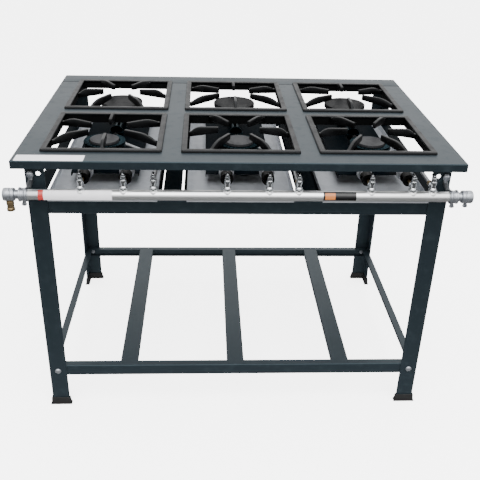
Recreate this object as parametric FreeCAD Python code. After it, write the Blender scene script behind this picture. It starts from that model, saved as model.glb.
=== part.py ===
import FreeCAD, Part
import math
import os

# Six-burner industrial gas stove. Millimetres, +Z up, the cook stands at -Y.
# Shapes are drawn with y measured back from the front edge of the top, then moved so that
# the origin lies on the floor under the middle of the whole stove.

# Square cooking grates
GRATE = 300.0
GRATE_RIM = 20.0
GRATE_PROUD = 6.0
GRATE_SEAT = 10.0
GRATE_CORNER = 5.0
FINGER_COUNT = 6
FINGER_THICK = 7.0
FINGER_TIP_RADIUS = 56.0
FINGER_TIP_HEIGHT = 15.0
FINGER_ROOT_HEIGHT = 10.0
FINGER_CROWN = 11.0
FINGER_FLAT = 46.0
FINGER_CLEAR = 3.0
UPPER_STEPS = 4

# Strips of the top between and around the grates
STRIP_COLUMNS = 53.0
STRIP_ROWS = 50.0
MARGIN_SIDE = 62.0
MARGIN_FRONT = 66.0
MARGIN_REAR = 74.0
TOP_HEIGHT = 795.0
TOP_LIP = 21.0
SHEET = 2.0
BEND = 3.0

# Angle legs and foot shoes
LEG_FLANGE = 50.0
LEG_SHEET = 3.0
LEG_BEND = 4.0
LEG_INSET_SIDE = 21.0
LEG_INSET_FRONT = 46.0
LEG_INSET_REAR = 15.0
LEG_SPARE_HOLE = 6.0
SPARE_HOLE_INSET = 34.0
SPARE_HOLE_DROP = 52.0
SHOE_HEIGHT = 23.0
SHOE_SOLE = 3.0
SHOE_WALL = 2.5
SHOE_FLARE = 4.0
SHOE_SHOULDER = 1.0
SHOE_FLARE_HEIGHT = 9.0
SHOE_CLEAR = 0.2

# Aprons under the top, and the lower shelf
APRON_DROP = 125.0
APRON_HEIGHT = 40.0
APRON_FLANGE = 20.0
APRON_SIDE_FLANGE = 33.0
APRON_RETURN = 12.0
CORNER_CLEAR = 3.0
SHELF_HEIGHT = 138.0
RAIL_HEIGHT = 35.0
RAIL_FLANGE = 22.0
RAIL_RETURN = 10.0
SLAT_COUNT = 3
SLAT_WIDTH = 50.0
SLAT_PITCH = 314.0
SLAT_DEPTH = 15.0
SLAT_SHEET = 1.5

# Drip trays and their rails
TRAY_UNDERCUT = 1.0
TRAY_WALL = 18.0
TRAY_SHEET = 1.2
TRAY_FRONT = 39.0
TRAY_PULL = 8.0
PULL_INSET = 6.0
TRAY_REST = 8.0
TRAY_CLEAR = 0.3
HAT_GAP = 14.5
HAT_RISE = 20.0
HAT_SLIT = 6.0
TRAY_LEDGE = 13.0
SIDE_LEDGE_PROUD = 6.0
POST_FLANGE = 13.0

# Cross bars and plates that carry the burners
CROSS_BAR_WIDTH = 40.0
CROSS_BAR_THICK = 4.0
CROSS_BAR_FRONT = 280.0
CROSS_BAR_REAR = 660.0
PLATE_WIDTH = 180.0
PLATE_RISE = 10.0
PLATE_FRONT = 150.0
PLATE_REAR = 740.0

# Gas manifold and its brackets
PIPE_RADIUS = 13.45
PIPE_WALL = 2.65
PIPE_AXIS_FRONT = 4.0
PIPE_DROP = 90.0
PIPE_OVERHANG = 7.0
SOCKET_RADIUS = 10.0
SOCKET_RISE = 2.5
COLLAR_RADIUS = 18.0
COLLAR_WIDTH = 20.0
COLLAR_CLEAR = 0.1
ARM_ROOT = 1.0
ARM_WIDTH = 18.0
ARM_THICK = 5.0
ARM_SETBACK = 13.0
ARM_EDGE = 6.0
ARM_START_ANGLES = (38.0, 62.0)
PAD_HALF = 10.0
BRACKET_BOLT_DROP = 53.0
END_NECK_RADIUS = 11.5
END_NECK = 10.0
END_HEAD_RADIUS = 16.5
END_HEAD = 29.0
END_ROUND = 4.0
END_PLUG = 12.0
INLET_RADIUS = 10.0
INLET_LENGTH = 27.0
INLET_BORE = 7.5
INLET_DEPTH = 18.0
INLET_SHANK = 6.0
INLET_SHANK_LENGTH = 10.0
SCREW_FIT = 0.1

# Valves, handles and injectors
FRONT_BURNER_SPREAD = 11.0
REAR_BURNER_SPREAD = 1.0
CROWN_TUBE_OFFSET = -36.0
INNER_TUBE_OFFSET = 70.0
REAR_VALVE_OFFSETS = (144.0, 144.0, 121.0)
OUTLET_RISE = 25.0
VALVE_HEX = 20.0
VALVE_HEX_HEIGHT = 5.0
VALVE_BARREL = 8.0
VALVE_HEIGHT = 27.0
VALVE_SHANK = 5.9
VALVE_SHANK_LENGTH = 4.0
HORN_RADIUS = 6.0
HORN_REACH = 20.0
STEM_RADIUS = 4.0
STEM_FIT = 0.05
STEM_DEPTH = 11.0
HUB_HEX = 12.0
HUB_RISE = 1.0
HUB_HEIGHT = 8.0
LEVER_LENGTH = 34.0
LEVER_WIDTH = 7.0
LEVER_HEIGHT = 6.0
LEVER_TAPER = 5.0
INJECTOR_HEX = 11.0
INJECTOR_HEX_LENGTH = 8.0
INJECTOR_RADIUS = 4.0
INJECTOR_TIP = 2.5
INJECTOR_NOZZLE = 18.0
LINE_RADIUS = 4.5
LINE_NUT_LENGTH = 14.0
LINE_BEND = 45.0
LINE_TURN = 45.0
LINE_STRAIGHT_END = 20.0

# Burner castings and caps
TUBE_RADIUS = 12.0
MOUTH_RADIUS = 13.0
MOUTH_BORE = 10.0
MOUTH_FRONT = 50.0
SHUTTER_FRONT = 46.0
SHUTTER_LENGTH = 48.7
SHUTTER_RADIUS = 16.0
SHUTTER_CLEAR = 0.3
SHUTTER_END = 2.5
SHUTTER_HOLE = 8.0
WINDOW_LENGTH = 20.0
WINDOW_HEIGHT = 12.0
WINDOW_SETBACK = 10.0
STOP_RADIUS = 20.0
STOP_LENGTH = 7.0
STOP_TAPER = 14.0
STOP_STEP = 3.0
INNER_TUBE_BEND = 60.0
INNER_TUBE_TURN = 45.0
CROWN_OUTER = 56.0
CROWN_INNER = 42.0
CROWN_HEIGHT = 20.0
CROWN_CLEAR = 9.0
CROWN_ROUND = 4.0
CROWN_PORTS = 10
PEG_RADIUS = 4.6
STEM_FOOT = 14.0
BOWL_RADIUS = 38.0
BOWL_WALL = 4.0
BOWL_BELOW_CROWN = 6.0
BOWL_DEPTH = 16.0
BOWL_RIM = 6.0
FRONT_CAP_RADIUS = 40.0
FRONT_CAP_HEIGHT = 12.0
REAR_RIM_RISE = 34.0
REAR_BOWL_RADIUS = 60.0
REAR_BOWL_DEPTH = 20.0
REAR_CAP_RADIUS = 65.0
REAR_CAP_HEIGHT = 12.0
REAR_TUBE_LENGTH = 166.0
REAR_STEM = 18.0
REAR_BELL = 24.0
BOWL_PORTS = 6
PORT_WIDTH = 3.0
PORT_DEPTH = 3.0
PORT_LENGTH = 8.0
CUT_OVER = 1.0
NEAR = 0.01
CAP_SLOPE = 2.5
BRIDGE_LENGTH = 16.0
BRIDGE_THICK = 4.0
BRIDGE_HEIGHT = 10.0

# Fasteners
BOLT_RADIUS = 4.0
BOLT_CLEAR = 0.5
BOLT_HEAD = 8.0
BOLT_HEAD_HEIGHT = 4.0
BOLT_PROUD = 3.0
NUT_HEX = 13.0
NUT_HEIGHT = 6.0
BOLT_BELOW_SHELF = 18.0
WING_STEM = 3.0
WING_SPAN = 16.0
WING_HEIGHT = 10.0
WING_THICK = 3.0
WING_DROP = 6.0

# Flat sides that stand for a full circle, by the size of the piece
HEX_SIDES = 6
THIN_SIDES = 6
LINE_SIDES = 8
ROUND_SIDES = 10
BOWL_SIDES = 12
PIPE_SIDES = 16
RING_SIDES = 20

# Places that follow from the sizes above
COLUMNS = (-1, 0, 1)
COLUMN_NAMES = ("left", "middle", "right")
COLUMN_PITCH = GRATE + STRIP_COLUMNS
WIDTH = 3 * GRATE + 2 * STRIP_COLUMNS + 2 * MARGIN_SIDE
DEPTH = 2 * GRATE + STRIP_ROWS + MARGIN_FRONT + MARGIN_REAR
FRONT_ROW = MARGIN_FRONT + GRATE / 2
REAR_ROW = FRONT_ROW + GRATE + STRIP_ROWS
OPENING = GRATE - 2 * GRATE_SEAT
BURNER_PITCH_FRONT = COLUMN_PITCH + FRONT_BURNER_SPREAD
BURNER_PITCH_REAR = COLUMN_PITCH + REAR_BURNER_SPREAD
TRAY_WIDTH = OPENING - 2 * TRAY_UNDERCUT
HAT_TOP = COLUMN_PITCH - TRAY_WIDTH - 2 * HAT_GAP
OPENING_SIDE = WIDTH / 2 - MARGIN_SIDE - GRATE_SEAT
FRONT_BAR = MARGIN_FRONT + GRATE_SEAT
REAR_BAR = MARGIN_REAR + GRATE_SEAT
LIP_BOTTOM = TOP_HEIGHT - TOP_LIP
UNDER_TOP = TOP_HEIGHT - SHEET
LEG_X = WIDTH / 2 - LEG_INSET_SIDE
LEG_FRONT = LEG_INSET_FRONT
LEG_REAR = DEPTH - LEG_INSET_REAR
INNER_X = LEG_X - LEG_SHEET
INNER_FRONT = LEG_FRONT + LEG_SHEET
INNER_REAR = LEG_REAR - LEG_SHEET
APRON_TOP = TOP_HEIGHT - APRON_DROP
APRON_FRONT_EDGE = INNER_FRONT + APRON_FLANGE
APRON_REAR_EDGE = INNER_REAR - APRON_FLANGE
HAT_HEIGHT = APRON_TOP + HAT_RISE
TRAY_FLOOR = APRON_TOP + TRAY_CLEAR
TRAY_REAR = APRON_REAR_EDGE + TRAY_REST
CROSS_BAR_TOP = HAT_HEIGHT + CROSS_BAR_THICK
PLATE_TOP = CROSS_BAR_TOP + PLATE_RISE
PIPE_Z = TOP_HEIGHT - PIPE_DROP
SOCKET_TOP = PIPE_Z + PIPE_RADIUS + SOCKET_RISE
OUTLET_Z = PIPE_Z + OUTLET_RISE
HORN_END = PIPE_AXIS_FRONT + HORN_REACH
VALVE_TOP = SOCKET_TOP + VALVE_HEIGHT
PIPE_HALF = LEG_X + PIPE_OVERHANG
COLLAR_X = PIPE_HALF - COLLAR_WIDTH / 2
ARM_X = LEG_X - ARM_EDGE - ARM_WIDTH / 2
BRACKET_BOLT_Z = TOP_HEIGHT - BRACKET_BOLT_DROP
END_HEAD_START = PIPE_HALF + END_NECK
END_MIDDLE = END_HEAD_START + END_HEAD / 2
SHUTTER_BORE = MOUTH_RADIUS + SHUTTER_CLEAR
STOP_FRONT = SHUTTER_FRONT + SHUTTER_LENGTH + SHUTTER_CLEAR
CROWN_BOTTOM = OUTLET_Z + TUBE_RADIUS + CROWN_CLEAR
CROWN_TOP = CROWN_BOTTOM + CROWN_HEIGHT
CROWN_MIDDLE = (CROWN_OUTER - CROWN_ROUND + CROWN_INNER) / 2
FRONT_RIM_Z = CROWN_TOP - BOWL_BELOW_CROWN
REAR_RIM_Z = OUTLET_Z + REAR_RIM_RISE
REAR_MOUTH = REAR_ROW - REAR_TUBE_LENGTH
REAR_BRIDGE = REAR_MOUTH - BRIDGE_LENGTH
SHELF_BOLT_X = LEG_X - LEG_FLANGE / 2
SHELF_BOLT_Z = SHELF_HEIGHT - BOLT_BELOW_SHELF
FRONT_REACH = COLLAR_RADIUS * math.cos(math.pi / PIPE_SIDES) - PIPE_AXIS_FRONT
MIDDLE_Y = (DEPTH - FRONT_REACH) / 2

# Grates with a finger to the front, or to the side, by column
FINGER_TO_FRONT = math.pi / 2
FINGER_TO_SIDE = 0.0
FRONT_TURNS = (FINGER_TO_FRONT, FINGER_TO_SIDE, FINGER_TO_SIDE)
REAR_TURNS = (FINGER_TO_SIDE, FINGER_TO_FRONT, FINGER_TO_FRONT)

# Valve places along the pipe: (column, burner, x)
VALVES = []
for column in COLUMNS:
    centre = column * BURNER_PITCH_FRONT
    VALVES.append((column, "crown", centre + CROWN_TUBE_OFFSET))
    VALVES.append((column, "inner", centre + INNER_TUBE_OFFSET))
    VALVES.append((column, "rear", centre + REAR_VALVE_OFFSETS[column + 1]))

AXES = {
    "yz": FreeCAD.Vector(1, 0, 0),
    "xz": FreeCAD.Vector(0, 1, 0),
    "xy": FreeCAD.Vector(0, 0, 1),
}


# Drawing helpers
def vec(x, y, z):
    return FreeCAD.Vector(x, y, z)


def on_plane(plane, a, b):
    if plane == "yz":
        return vec(0, a, b)
    if plane == "xz":
        return vec(a, 0, b)
    return vec(a, b, 0)


def outline(corners, plane):
    # Closed wire through (a, b, radius) corners, with a tangent arc where the radius isn't 0.
    points = [on_plane(plane, a, b) for a, b, radius in corners]
    entries = []
    for index, corner in enumerate(points):
        before = (points[index - 1] - corner).normalize()
        after = (points[(index + 1) % len(points)] - corner).normalize()
        radius = corners[index][2]
        if radius == 0:
            entries.append((corner, None, corner))
            continue
        half = before.getAngle(after) / 2
        reach = radius / math.tan(half)
        inward = (before + after).normalize()
        middle = corner + inward * (radius / math.sin(half) - radius)
        entries.append((corner + before * reach, middle, corner + after * reach))
    edges = []
    for index, (start, middle, end) in enumerate(entries):
        if middle is not None:
            edges.append(Part.Arc(start, middle, end).toShape())
        edges.append(Part.makeLine(end, entries[(index + 1) % len(entries)][0]))
    return Part.Wire(edges)


def extrude(corners, plane, low, high):
    face = Part.Face(outline(corners, plane))
    face.translate(AXES[plane] * low)
    return face.extrude(AXES[plane] * (high - low))


def offset_right(path, distance):
    # The open path moved sideways, to the right of its direction, with mitred corners.
    moved = []
    for index, (a, b) in enumerate(path):
        normals = []
        for first, second in ((index - 1, index), (index, index + 1)):
            if first >= 0 and second < len(path):
                run = (path[second][0] - path[first][0], path[second][1] - path[first][1])
                length = math.hypot(*run)
                normals.append((run[1] / length, -run[0] / length))
        mean = [sum(parts) / len(normals) for parts in zip(*normals)]
        scale = distance / (mean[0] ** 2 + mean[1] ** 2)
        moved.append((a + mean[0] * scale, b + mean[1] * scale))
    return moved


def folded(path, sheet, bends):
    # Corners of a folded strip: the path is its outer face, the sheet lies to the right of it.
    # The inside of each bend is drawn sharp.
    outer = [(a, b, bend) for (a, b), bend in zip(path, bends)]
    inner = [(a, b, 0) for a, b in offset_right(path, sheet)]
    return outer + inner[::-1]


def channel(base, inward, top, bottom, top_flange, bottom_flange, sheet):
    # Corners of a C section with its web at base and its flanges reaching inward (+1 or -1).
    def place(reach, level):
        return (base + inward * reach, level)

    return [
        place(top_flange, top) + (0,),
        place(0, top) + (BEND,),
        place(0, bottom) + (BEND,),
        place(bottom_flange, bottom) + (0,),
        place(bottom_flange, bottom + sheet) + (0,),
        place(sheet, bottom + sheet) + (0,),
        place(sheet, top - sheet) + (0,),
        place(top_flange, top - sheet) + (0,),
    ]


def box(x0, x1, y0, y1, z0, z1):
    return Part.makeBox(x1 - x0, y1 - y0, z1 - z0, vec(x0, y0, z0))


def ring_points(radius, level, sides):
    turns = around(sides, math.pi / sides)
    return [vec(radius * math.cos(turn), radius * math.sin(turn), level) for turn in turns]


def stacked(levels, sides):
    # Round solid about the Z axis through (radius, z) levels, drawn with flat sides.
    rings = [ring_points(radius, level, sides) for radius, level in levels]
    faces = [Part.Face(Part.makePolygon(ring + ring[:1])) for ring in (rings[0], rings[-1])]
    for low, high in zip(rings, rings[1:]):
        for index in range(sides):
            corners = [low[index - 1], low[index], high[index], high[index - 1]]
            faces.append(Part.Face(Part.makePolygon(corners + corners[:1])))
    solid = Part.Solid(Part.Shell(faces))
    if solid.Volume < 0:
        solid.reverse()
    return solid


def cone(start_radius, end_radius, start, end, sides=ROUND_SIDES):
    run = end - start
    solid = stacked([(start_radius, 0), (end_radius, run.Length)], sides)
    solid.Placement = FreeCAD.Placement(start, FreeCAD.Rotation(vec(0, 0, 1), run))
    return solid


def rod(radius, start, end, sides=ROUND_SIDES):
    return cone(radius, radius, start, end, sides)


def hole(radius, start, end, sides=ROUND_SIDES):
    # Round hole whose flat sides lie at the radius, so that a rod of that radius just fits.
    return rod(radius / math.cos(math.pi / sides), start, end, sides)


def hexagon(across_flats, plane, a, b, low, high):
    radius = across_flats / 2 / math.cos(math.pi / HEX_SIDES)
    turns = around(HEX_SIDES)
    corners = [(a + radius * math.cos(turn), b + radius * math.sin(turn), 0) for turn in turns]
    return extrude(corners, plane, low, high)


def clipped_square(half, clip, low, high):
    corners = []
    for a, b in ((1, 1), (-1, 1), (-1, -1), (1, -1)):
        near = (a * (half - clip), b * half, 0)
        far = (a * half, b * (half - clip), 0)
        corners += [far, near] if a * b > 0 else [near, far]
    return extrude(corners, "xy", low, high)


def joined(first, *others):
    return first.fuse(list(others)).removeSplitter()


def around(count, start=0.0):
    return [start + 2 * math.pi * step / count for step in range(count)]


def save(name, *solids):
    shape = solids[0] if len(solids) == 1 else Part.makeCompound(list(solids))
    shape = shape.copy()
    shape.translate(vec(0, -MIDDLE_Y, 0))
    shape.exportStep("parts/" + name + ".step")


# Top
def wide_bar(depth):
    # Folded bar across the whole width, outer edge at y = 0, with closed ends.
    path = [(0, LIP_BOTTOM), (0, TOP_HEIGHT), (depth, TOP_HEIGHT), (depth, LIP_BOTTOM)]
    bar = extrude(folded(path, SHEET, (0, BEND, 0, 0)), "yz", -WIDTH / 2, WIDTH / 2)
    for side in (-1, 1):
        corner = sorted((side * OPENING_SIDE, side * WIDTH / 2))
        bar = bar.cut(box(*corner, depth - SHEET, depth, LIP_BOTTOM, UNDER_TOP))
        end = sorted((side * (WIDTH / 2 - SHEET), side * WIDTH / 2))
        plate = [(a, b, bend) for (a, b), bend in zip(path, (0, BEND, 0, 0))]
        bar = bar.fuse(extrude(plate, "yz", *end))
    bar = bar.removeSplitter()
    return bar.makeFillet(BEND, [edge for edge in bar.Edges if on_end_outline(edge, depth)])


def on_end_outline(edge, depth):
    # True for the upper edges of the closed ends of a wide bar; the rounding runs on down the corner.
    ends = edge.Vertexes
    on_end = all(abs(abs(vertex.X) - WIDTH / 2) < NEAR for vertex in ends)
    back = all(vertex.Y > depth - NEAR for vertex in ends)
    low = any(vertex.Z < LIP_BOTTOM + NEAR for vertex in ends)
    return on_end and not back and not low


def rear_bar():
    bar = wide_bar(REAR_BAR).mirror(vec(0, 0, 0), vec(0, 1, 0))
    bar.translate(vec(0, DEPTH, 0))
    return bar


def side_bar(side):
    outer = side * WIDTH / 2
    inner = side * OPENING_SIDE
    path = [(outer, LIP_BOTTOM), (outer, TOP_HEIGHT), (inner, TOP_HEIGHT), (inner, LIP_BOTTOM)]
    bends = (0, BEND, 0, 0)
    if side > 0:
        path = path[::-1]
        bends = bends[::-1]
    return extrude(folded(path, SHEET, bends), "xz", FRONT_BAR, DEPTH - REAR_BAR)


def strip(plane, low_edge, high_edge, start, end):
    # Plain folded bar between two openings.
    path = [(low_edge, LIP_BOTTOM), (low_edge, TOP_HEIGHT), (high_edge, TOP_HEIGHT), (high_edge, LIP_BOTTOM)]
    return extrude(folded(path, SHEET, (0, 0, 0, 0)), plane, start, end)


def middle_bar(side):
    edges = sorted((side * OPENING / 2, side * (COLUMN_PITCH - OPENING / 2)))
    return strip("xz", *edges, FRONT_BAR, DEPTH - REAR_BAR)


def cross_bar(column):
    centre = column * COLUMN_PITCH
    front = FRONT_ROW + OPENING / 2
    rear = REAR_ROW - OPENING / 2
    return strip("yz", front, rear, centre - OPENING / 2, centre + OPENING / 2)


# Legs, shoes, aprons and shelf
def angle_corners(side, way, face_y, grow, bend):
    # L outline of a leg at one corner, grown all round; way is +1 for front legs, -1 for rear legs.
    ends = LEG_FLANGE + grow
    back = LEG_SHEET + grow
    local = [
        (ends, -grow, 0),
        (-grow, -grow, bend),
        (-grow, ends, 0),
        (back, ends, 0),
        (back, back, 0),
        (ends, back, 0),
    ]
    return [(side * (LEG_X - a), face_y + way * b, radius) for a, b, radius in local]


def leg(side, way, face_y):
    shape = extrude(angle_corners(side, way, face_y, 0, LEG_BEND), "xy", SHOE_SOLE, UNDER_TOP)
    inside = face_y + way * LEG_SHEET
    holes = [bolt_hole(side * SHELF_BOLT_X, SHELF_BOLT_Z, face_y, inside)]
    if way > 0:
        holes.append(bolt_hole(side * ARM_X, BRACKET_BOLT_Z, face_y, inside))
        spare_x = side * (LEG_X - SPARE_HOLE_INSET)
        holes.append(hole_y(LEG_SPARE_HOLE, spare_x, TOP_HEIGHT - SPARE_HOLE_DROP, face_y, inside))
    return shape.cut(holes)


def rod_y(radius, x, z, start, end, sides=ROUND_SIDES):
    return rod(radius, vec(x, start, z), vec(x, end, z), sides)


def hole_y(radius, x, z, start, end, sides=ROUND_SIDES):
    return hole(radius, vec(x, start, z), vec(x, end, z), sides)


def bolt_hole(x, z, start, end):
    return hole_y(BOLT_RADIUS + BOLT_CLEAR, x, z, start, end, THIN_SIDES)


def foot_shoe(side, way, face_y):
    levels = (
        (0, SHOE_WALL + SHOE_FLARE),
        (SHOE_FLARE_HEIGHT, SHOE_WALL + SHOE_SHOULDER),
        (SHOE_HEIGHT, SHOE_WALL),
    )
    wires = []
    for level, grow in levels:
        wire = outline(angle_corners(side, way, face_y, grow, 0), "xy")
        wire.translate(vec(0, 0, level))
        wires.append(wire)
    shoe = Part.makeLoft(wires, True, True)
    slot = extrude(angle_corners(side, way, face_y, SHOE_CLEAR, 0), "xy", SHOE_SOLE, SHOE_HEIGHT)
    return shoe.cut(slot)


def long_channel(base, inward, top, height, flange, lip):
    half = INNER_X - CORNER_CLEAR
    corners = channel(base, inward, top, top - height, flange, lip, SHEET)
    return extrude(corners, "yz", -half, half)


def side_channel(side, top, height, flange, lip, setback):
    # C section between the flanges of the front and rear channels, which are setback deep.
    corners = channel(side * INNER_X, -side, top, top - height, flange, lip, SHEET)
    return extrude(corners, "xz", INNER_FRONT + setback, INNER_REAR - setback)


def shelf_rail(base, inward):
    rail = long_channel(base, inward, *RAIL)
    for side in (-1, 1):
        rail = rail.cut(bolt_hole(side * SHELF_BOLT_X, SHELF_BOLT_Z, base, base + inward * SHEET))
    return rail


def shelf_slat(index):
    centre = (index - (SLAT_COUNT - 1) / 2) * SLAT_PITCH
    left = centre - SLAT_WIDTH / 2
    right = centre + SLAT_WIDTH / 2
    low = SHELF_HEIGHT - SLAT_DEPTH
    path = [(left, low), (left, SHELF_HEIGHT), (right, SHELF_HEIGHT), (right, low)]
    corners = folded(path, SLAT_SHEET, (0, BEND, BEND, 0))
    return extrude(corners, "xz", INNER_FRONT + RAIL_FLANGE, INNER_REAR - RAIL_FLANGE)


# Drip trays, rails and burner supports
def hat_rail(side):
    # Channel from apron to apron between two trays, open below.
    left = side * COLUMN_PITCH / 2 - HAT_TOP / 2
    right = left + HAT_TOP
    bottom = APRON_TOP - SHEET
    path = [(left, bottom), (left, HAT_HEIGHT), (right, HAT_HEIGHT), (right, bottom)]
    corners = folded(path, SHEET, (0, 0, 0, 0))
    return extrude(corners, "xz", APRON_FRONT_EDGE, APRON_REAR_EDGE)


def hat_ledge(side, way):
    # Strip beside a hat rail, under the edge of the tray next to it.
    centre = side * COLUMN_PITCH / 2
    near = HAT_TOP / 2 + HAT_SLIT
    far = (COLUMN_PITCH - TRAY_WIDTH) / 2 + TRAY_LEDGE
    ends = sorted((centre + way * near, centre + way * far))
    return box(*ends, APRON_FRONT_EDGE, APRON_REAR_EDGE, APRON_TOP - SHEET, APRON_TOP)


def side_post(side, front):
    # Folded C on the flange of the side apron, under the end of a cross bar.
    near = INNER_X - APRON_SIDE_FLANGE
    far = near + POST_FLANGE
    path = [(far, APRON_TOP), (near, APRON_TOP), (near, HAT_HEIGHT), (far, HAT_HEIGHT)]
    corners = folded(path, SHEET, (0, 0, 0, 0))
    mirrored = [(side * a, b, bend) for a, b, bend in corners]
    return extrude(mirrored, "xz", front, front + CROSS_BAR_WIDTH)


def side_ledge(side):
    # Strip from apron to apron, under the edge of the outer tray.
    tray_edge = COLUMN_PITCH + TRAY_WIDTH / 2
    ends = sorted((side * (tray_edge - TRAY_LEDGE), side * (tray_edge + SIDE_LEDGE_PROUD)))
    return box(*ends, APRON_FRONT_EDGE, APRON_REAR_EDGE, APRON_TOP - SHEET, APRON_TOP)


def drip_tray(column):
    centre = column * COLUMN_PITCH
    left = centre - TRAY_WIDTH / 2
    right = centre + TRAY_WIDTH / 2
    top = TRAY_FLOOR + TRAY_WALL
    pan = box(left, right, TRAY_FRONT, TRAY_REAR, TRAY_FLOOR, top)
    front = TRAY_FRONT + TRAY_SHEET
    rear = TRAY_REAR - TRAY_SHEET
    inside = box(left + TRAY_SHEET, right - TRAY_SHEET, front, rear, TRAY_FLOOR + TRAY_SHEET, top)
    pull_front = TRAY_FRONT - TRAY_PULL
    pull = box(left + PULL_INSET, right - PULL_INSET, pull_front, front, top - TRAY_SHEET, top)
    return joined(pan.cut(inside), pull)


def burner_cross_bar(front):
    half = INNER_X - APRON_FLANGE
    return box(-half, half, front, front + CROSS_BAR_WIDTH, HAT_HEIGHT, CROSS_BAR_TOP)


def burner_plate(column):
    centre = column * (BURNER_PITCH_FRONT + BURNER_PITCH_REAR) / 2
    left = centre - PLATE_WIDTH / 2
    right = centre + PLATE_WIDTH / 2
    path = [(left, CROSS_BAR_TOP), (left, PLATE_TOP), (right, PLATE_TOP), (right, CROSS_BAR_TOP)]
    return extrude(folded(path, SHEET, (0, 0, 0, 0)), "xz", PLATE_FRONT, PLATE_REAR)


# Grates
def falling_curve(start, end, steps):
    # Corners along an arc that leaves start level and bends down to end, both (x, z).
    run = end[0] - start[0]
    drop = start[1] - end[1]
    radius = (run ** 2 + drop ** 2) / (2 * drop)
    whole = math.asin(run / radius)
    corners = []
    for step in range(steps + 1):
        turn = whole * step / steps
        corners.append((start[0] + radius * math.sin(turn), start[1] - radius * (1 - math.cos(turn)), 0))
    return corners


def finger(turn):
    # Blade from under the rim towards the middle, drawn along +X and turned into place.
    # Its upper edge is arched and its lower edge straight.
    slant = max(abs(math.cos(turn)), abs(math.sin(turn)))
    rim_edge = (GRATE / 2 - GRATE_RIM) / slant
    root_end = (OPENING / 2 - FINGER_CLEAR) / slant
    top = TOP_HEIGHT + GRATE_PROUD + FINGER_CROWN
    flat_end = (FINGER_TIP_RADIUS + FINGER_FLAT, top)
    upper = falling_curve(flat_end, (rim_edge, TOP_HEIGHT), UPPER_STEPS)
    root = [(root_end, TOP_HEIGHT, 0), (root_end, TOP_HEIGHT - FINGER_ROOT_HEIGHT, 0)]
    tip = [(FINGER_TIP_RADIUS, top - FINGER_TIP_HEIGHT, 0), (FINGER_TIP_RADIUS, top, 0)]
    corners = [*upper, *root, *tip]
    blade = extrude(corners, "xz", -FINGER_THICK / 2, FINGER_THICK / 2)
    blade.rotate(vec(0, 0, 0), vec(0, 0, 1), math.degrees(turn))
    return blade


def grate(column, row_y, first_turn):
    half = GRATE / 2
    reach = half - GRATE_RIM
    top = TOP_HEIGHT + GRATE_PROUD
    rim = clipped_square(half, GRATE_CORNER, TOP_HEIGHT, top)
    inside = box(-reach, reach, -reach, reach, TOP_HEIGHT, top)
    shape = joined(rim.cut(inside), *[finger(turn) for turn in around(FINGER_COUNT, first_turn)])
    shape.translate(vec(column * COLUMN_PITCH, row_y, 0))
    return shape


# Burner castings, caps and air shutters
def mouth_windows(x):
    # Air holes right through the mouth of a mixing tube, level with its axis.
    start = MOUTH_FRONT + WINDOW_SETBACK
    half = SHUTTER_RADIUS + CUT_OVER
    low = OUTLET_Z - WINDOW_HEIGHT / 2
    return box(x - half, x + half, start, start + WINDOW_LENGTH, low, low + WINDOW_HEIGHT)


def tube_mouth(x):
    # Front end of a mixing tube: bored sleeve seat, stop collar and the start of the neck.
    seat = rod_y(MOUTH_RADIUS, x, OUTLET_Z, MOUTH_FRONT, STOP_FRONT)
    stop = rod_y(STOP_RADIUS, x, OUTLET_Z, STOP_FRONT, STOP_FRONT + STOP_LENGTH)
    taper_start = vec(x, STOP_FRONT + STOP_LENGTH, OUTLET_Z)
    taper_end = taper_start + vec(0, STOP_TAPER, 0)
    return joined(seat, stop, cone(STOP_RADIUS - STOP_STEP, TUBE_RADIUS, taper_start, taper_end))


def mouth_bore(x):
    return hole_y(MOUTH_BORE, x, OUTLET_Z, MOUTH_FRONT, STOP_FRONT + STOP_LENGTH)


def air_shutter(x):
    end = SHUTTER_FRONT + SHUTTER_LENGTH
    sleeve = rod_y(SHUTTER_RADIUS, x, OUTLET_Z, SHUTTER_FRONT, end)
    seat = hole_y(SHUTTER_BORE, x, OUTLET_Z, SHUTTER_FRONT + SHUTTER_END, end)
    eye = hole_y(SHUTTER_HOLE, x, OUTLET_Z, SHUTTER_FRONT, end)
    return sleeve.cut([seat, eye, mouth_windows(x)])


def crown_ring(x, y):
    # Ring casting with gas slots across its top edge.
    levels = [
        (CROWN_OUTER - CROWN_ROUND, CROWN_BOTTOM),
        (CROWN_OUTER, CROWN_BOTTOM + CROWN_ROUND),
        (CROWN_OUTER, CROWN_TOP),
    ]
    ring = stacked(levels, RING_SIDES)
    ring = ring.cut(hole(CROWN_INNER, vec(0, 0, CROWN_BOTTOM), vec(0, 0, CROWN_TOP), RING_SIDES))
    ring = ring.cut(port_slots(CROWN_PORTS, CROWN_OUTER, CROWN_TOP))
    ring.translate(vec(x, y, 0))
    return ring


def port_slots(count, radius, top):
    slots = []
    half = PORT_WIDTH / 2
    for turn in around(count):
        slot = box(radius - PORT_LENGTH, radius + CUT_OVER, -half, half, top - PORT_DEPTH, top)
        slot.rotate(vec(0, 0, 0), vec(0, 0, 1), math.degrees(turn))
        slots.append(slot)
    return slots


def upright(radius, x, y, sides):
    # Post from the burner plate into the underside of the crown.
    return rod(radius, vec(x, y, PLATE_TOP), vec(x, y, CROWN_BOTTOM), sides)


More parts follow.
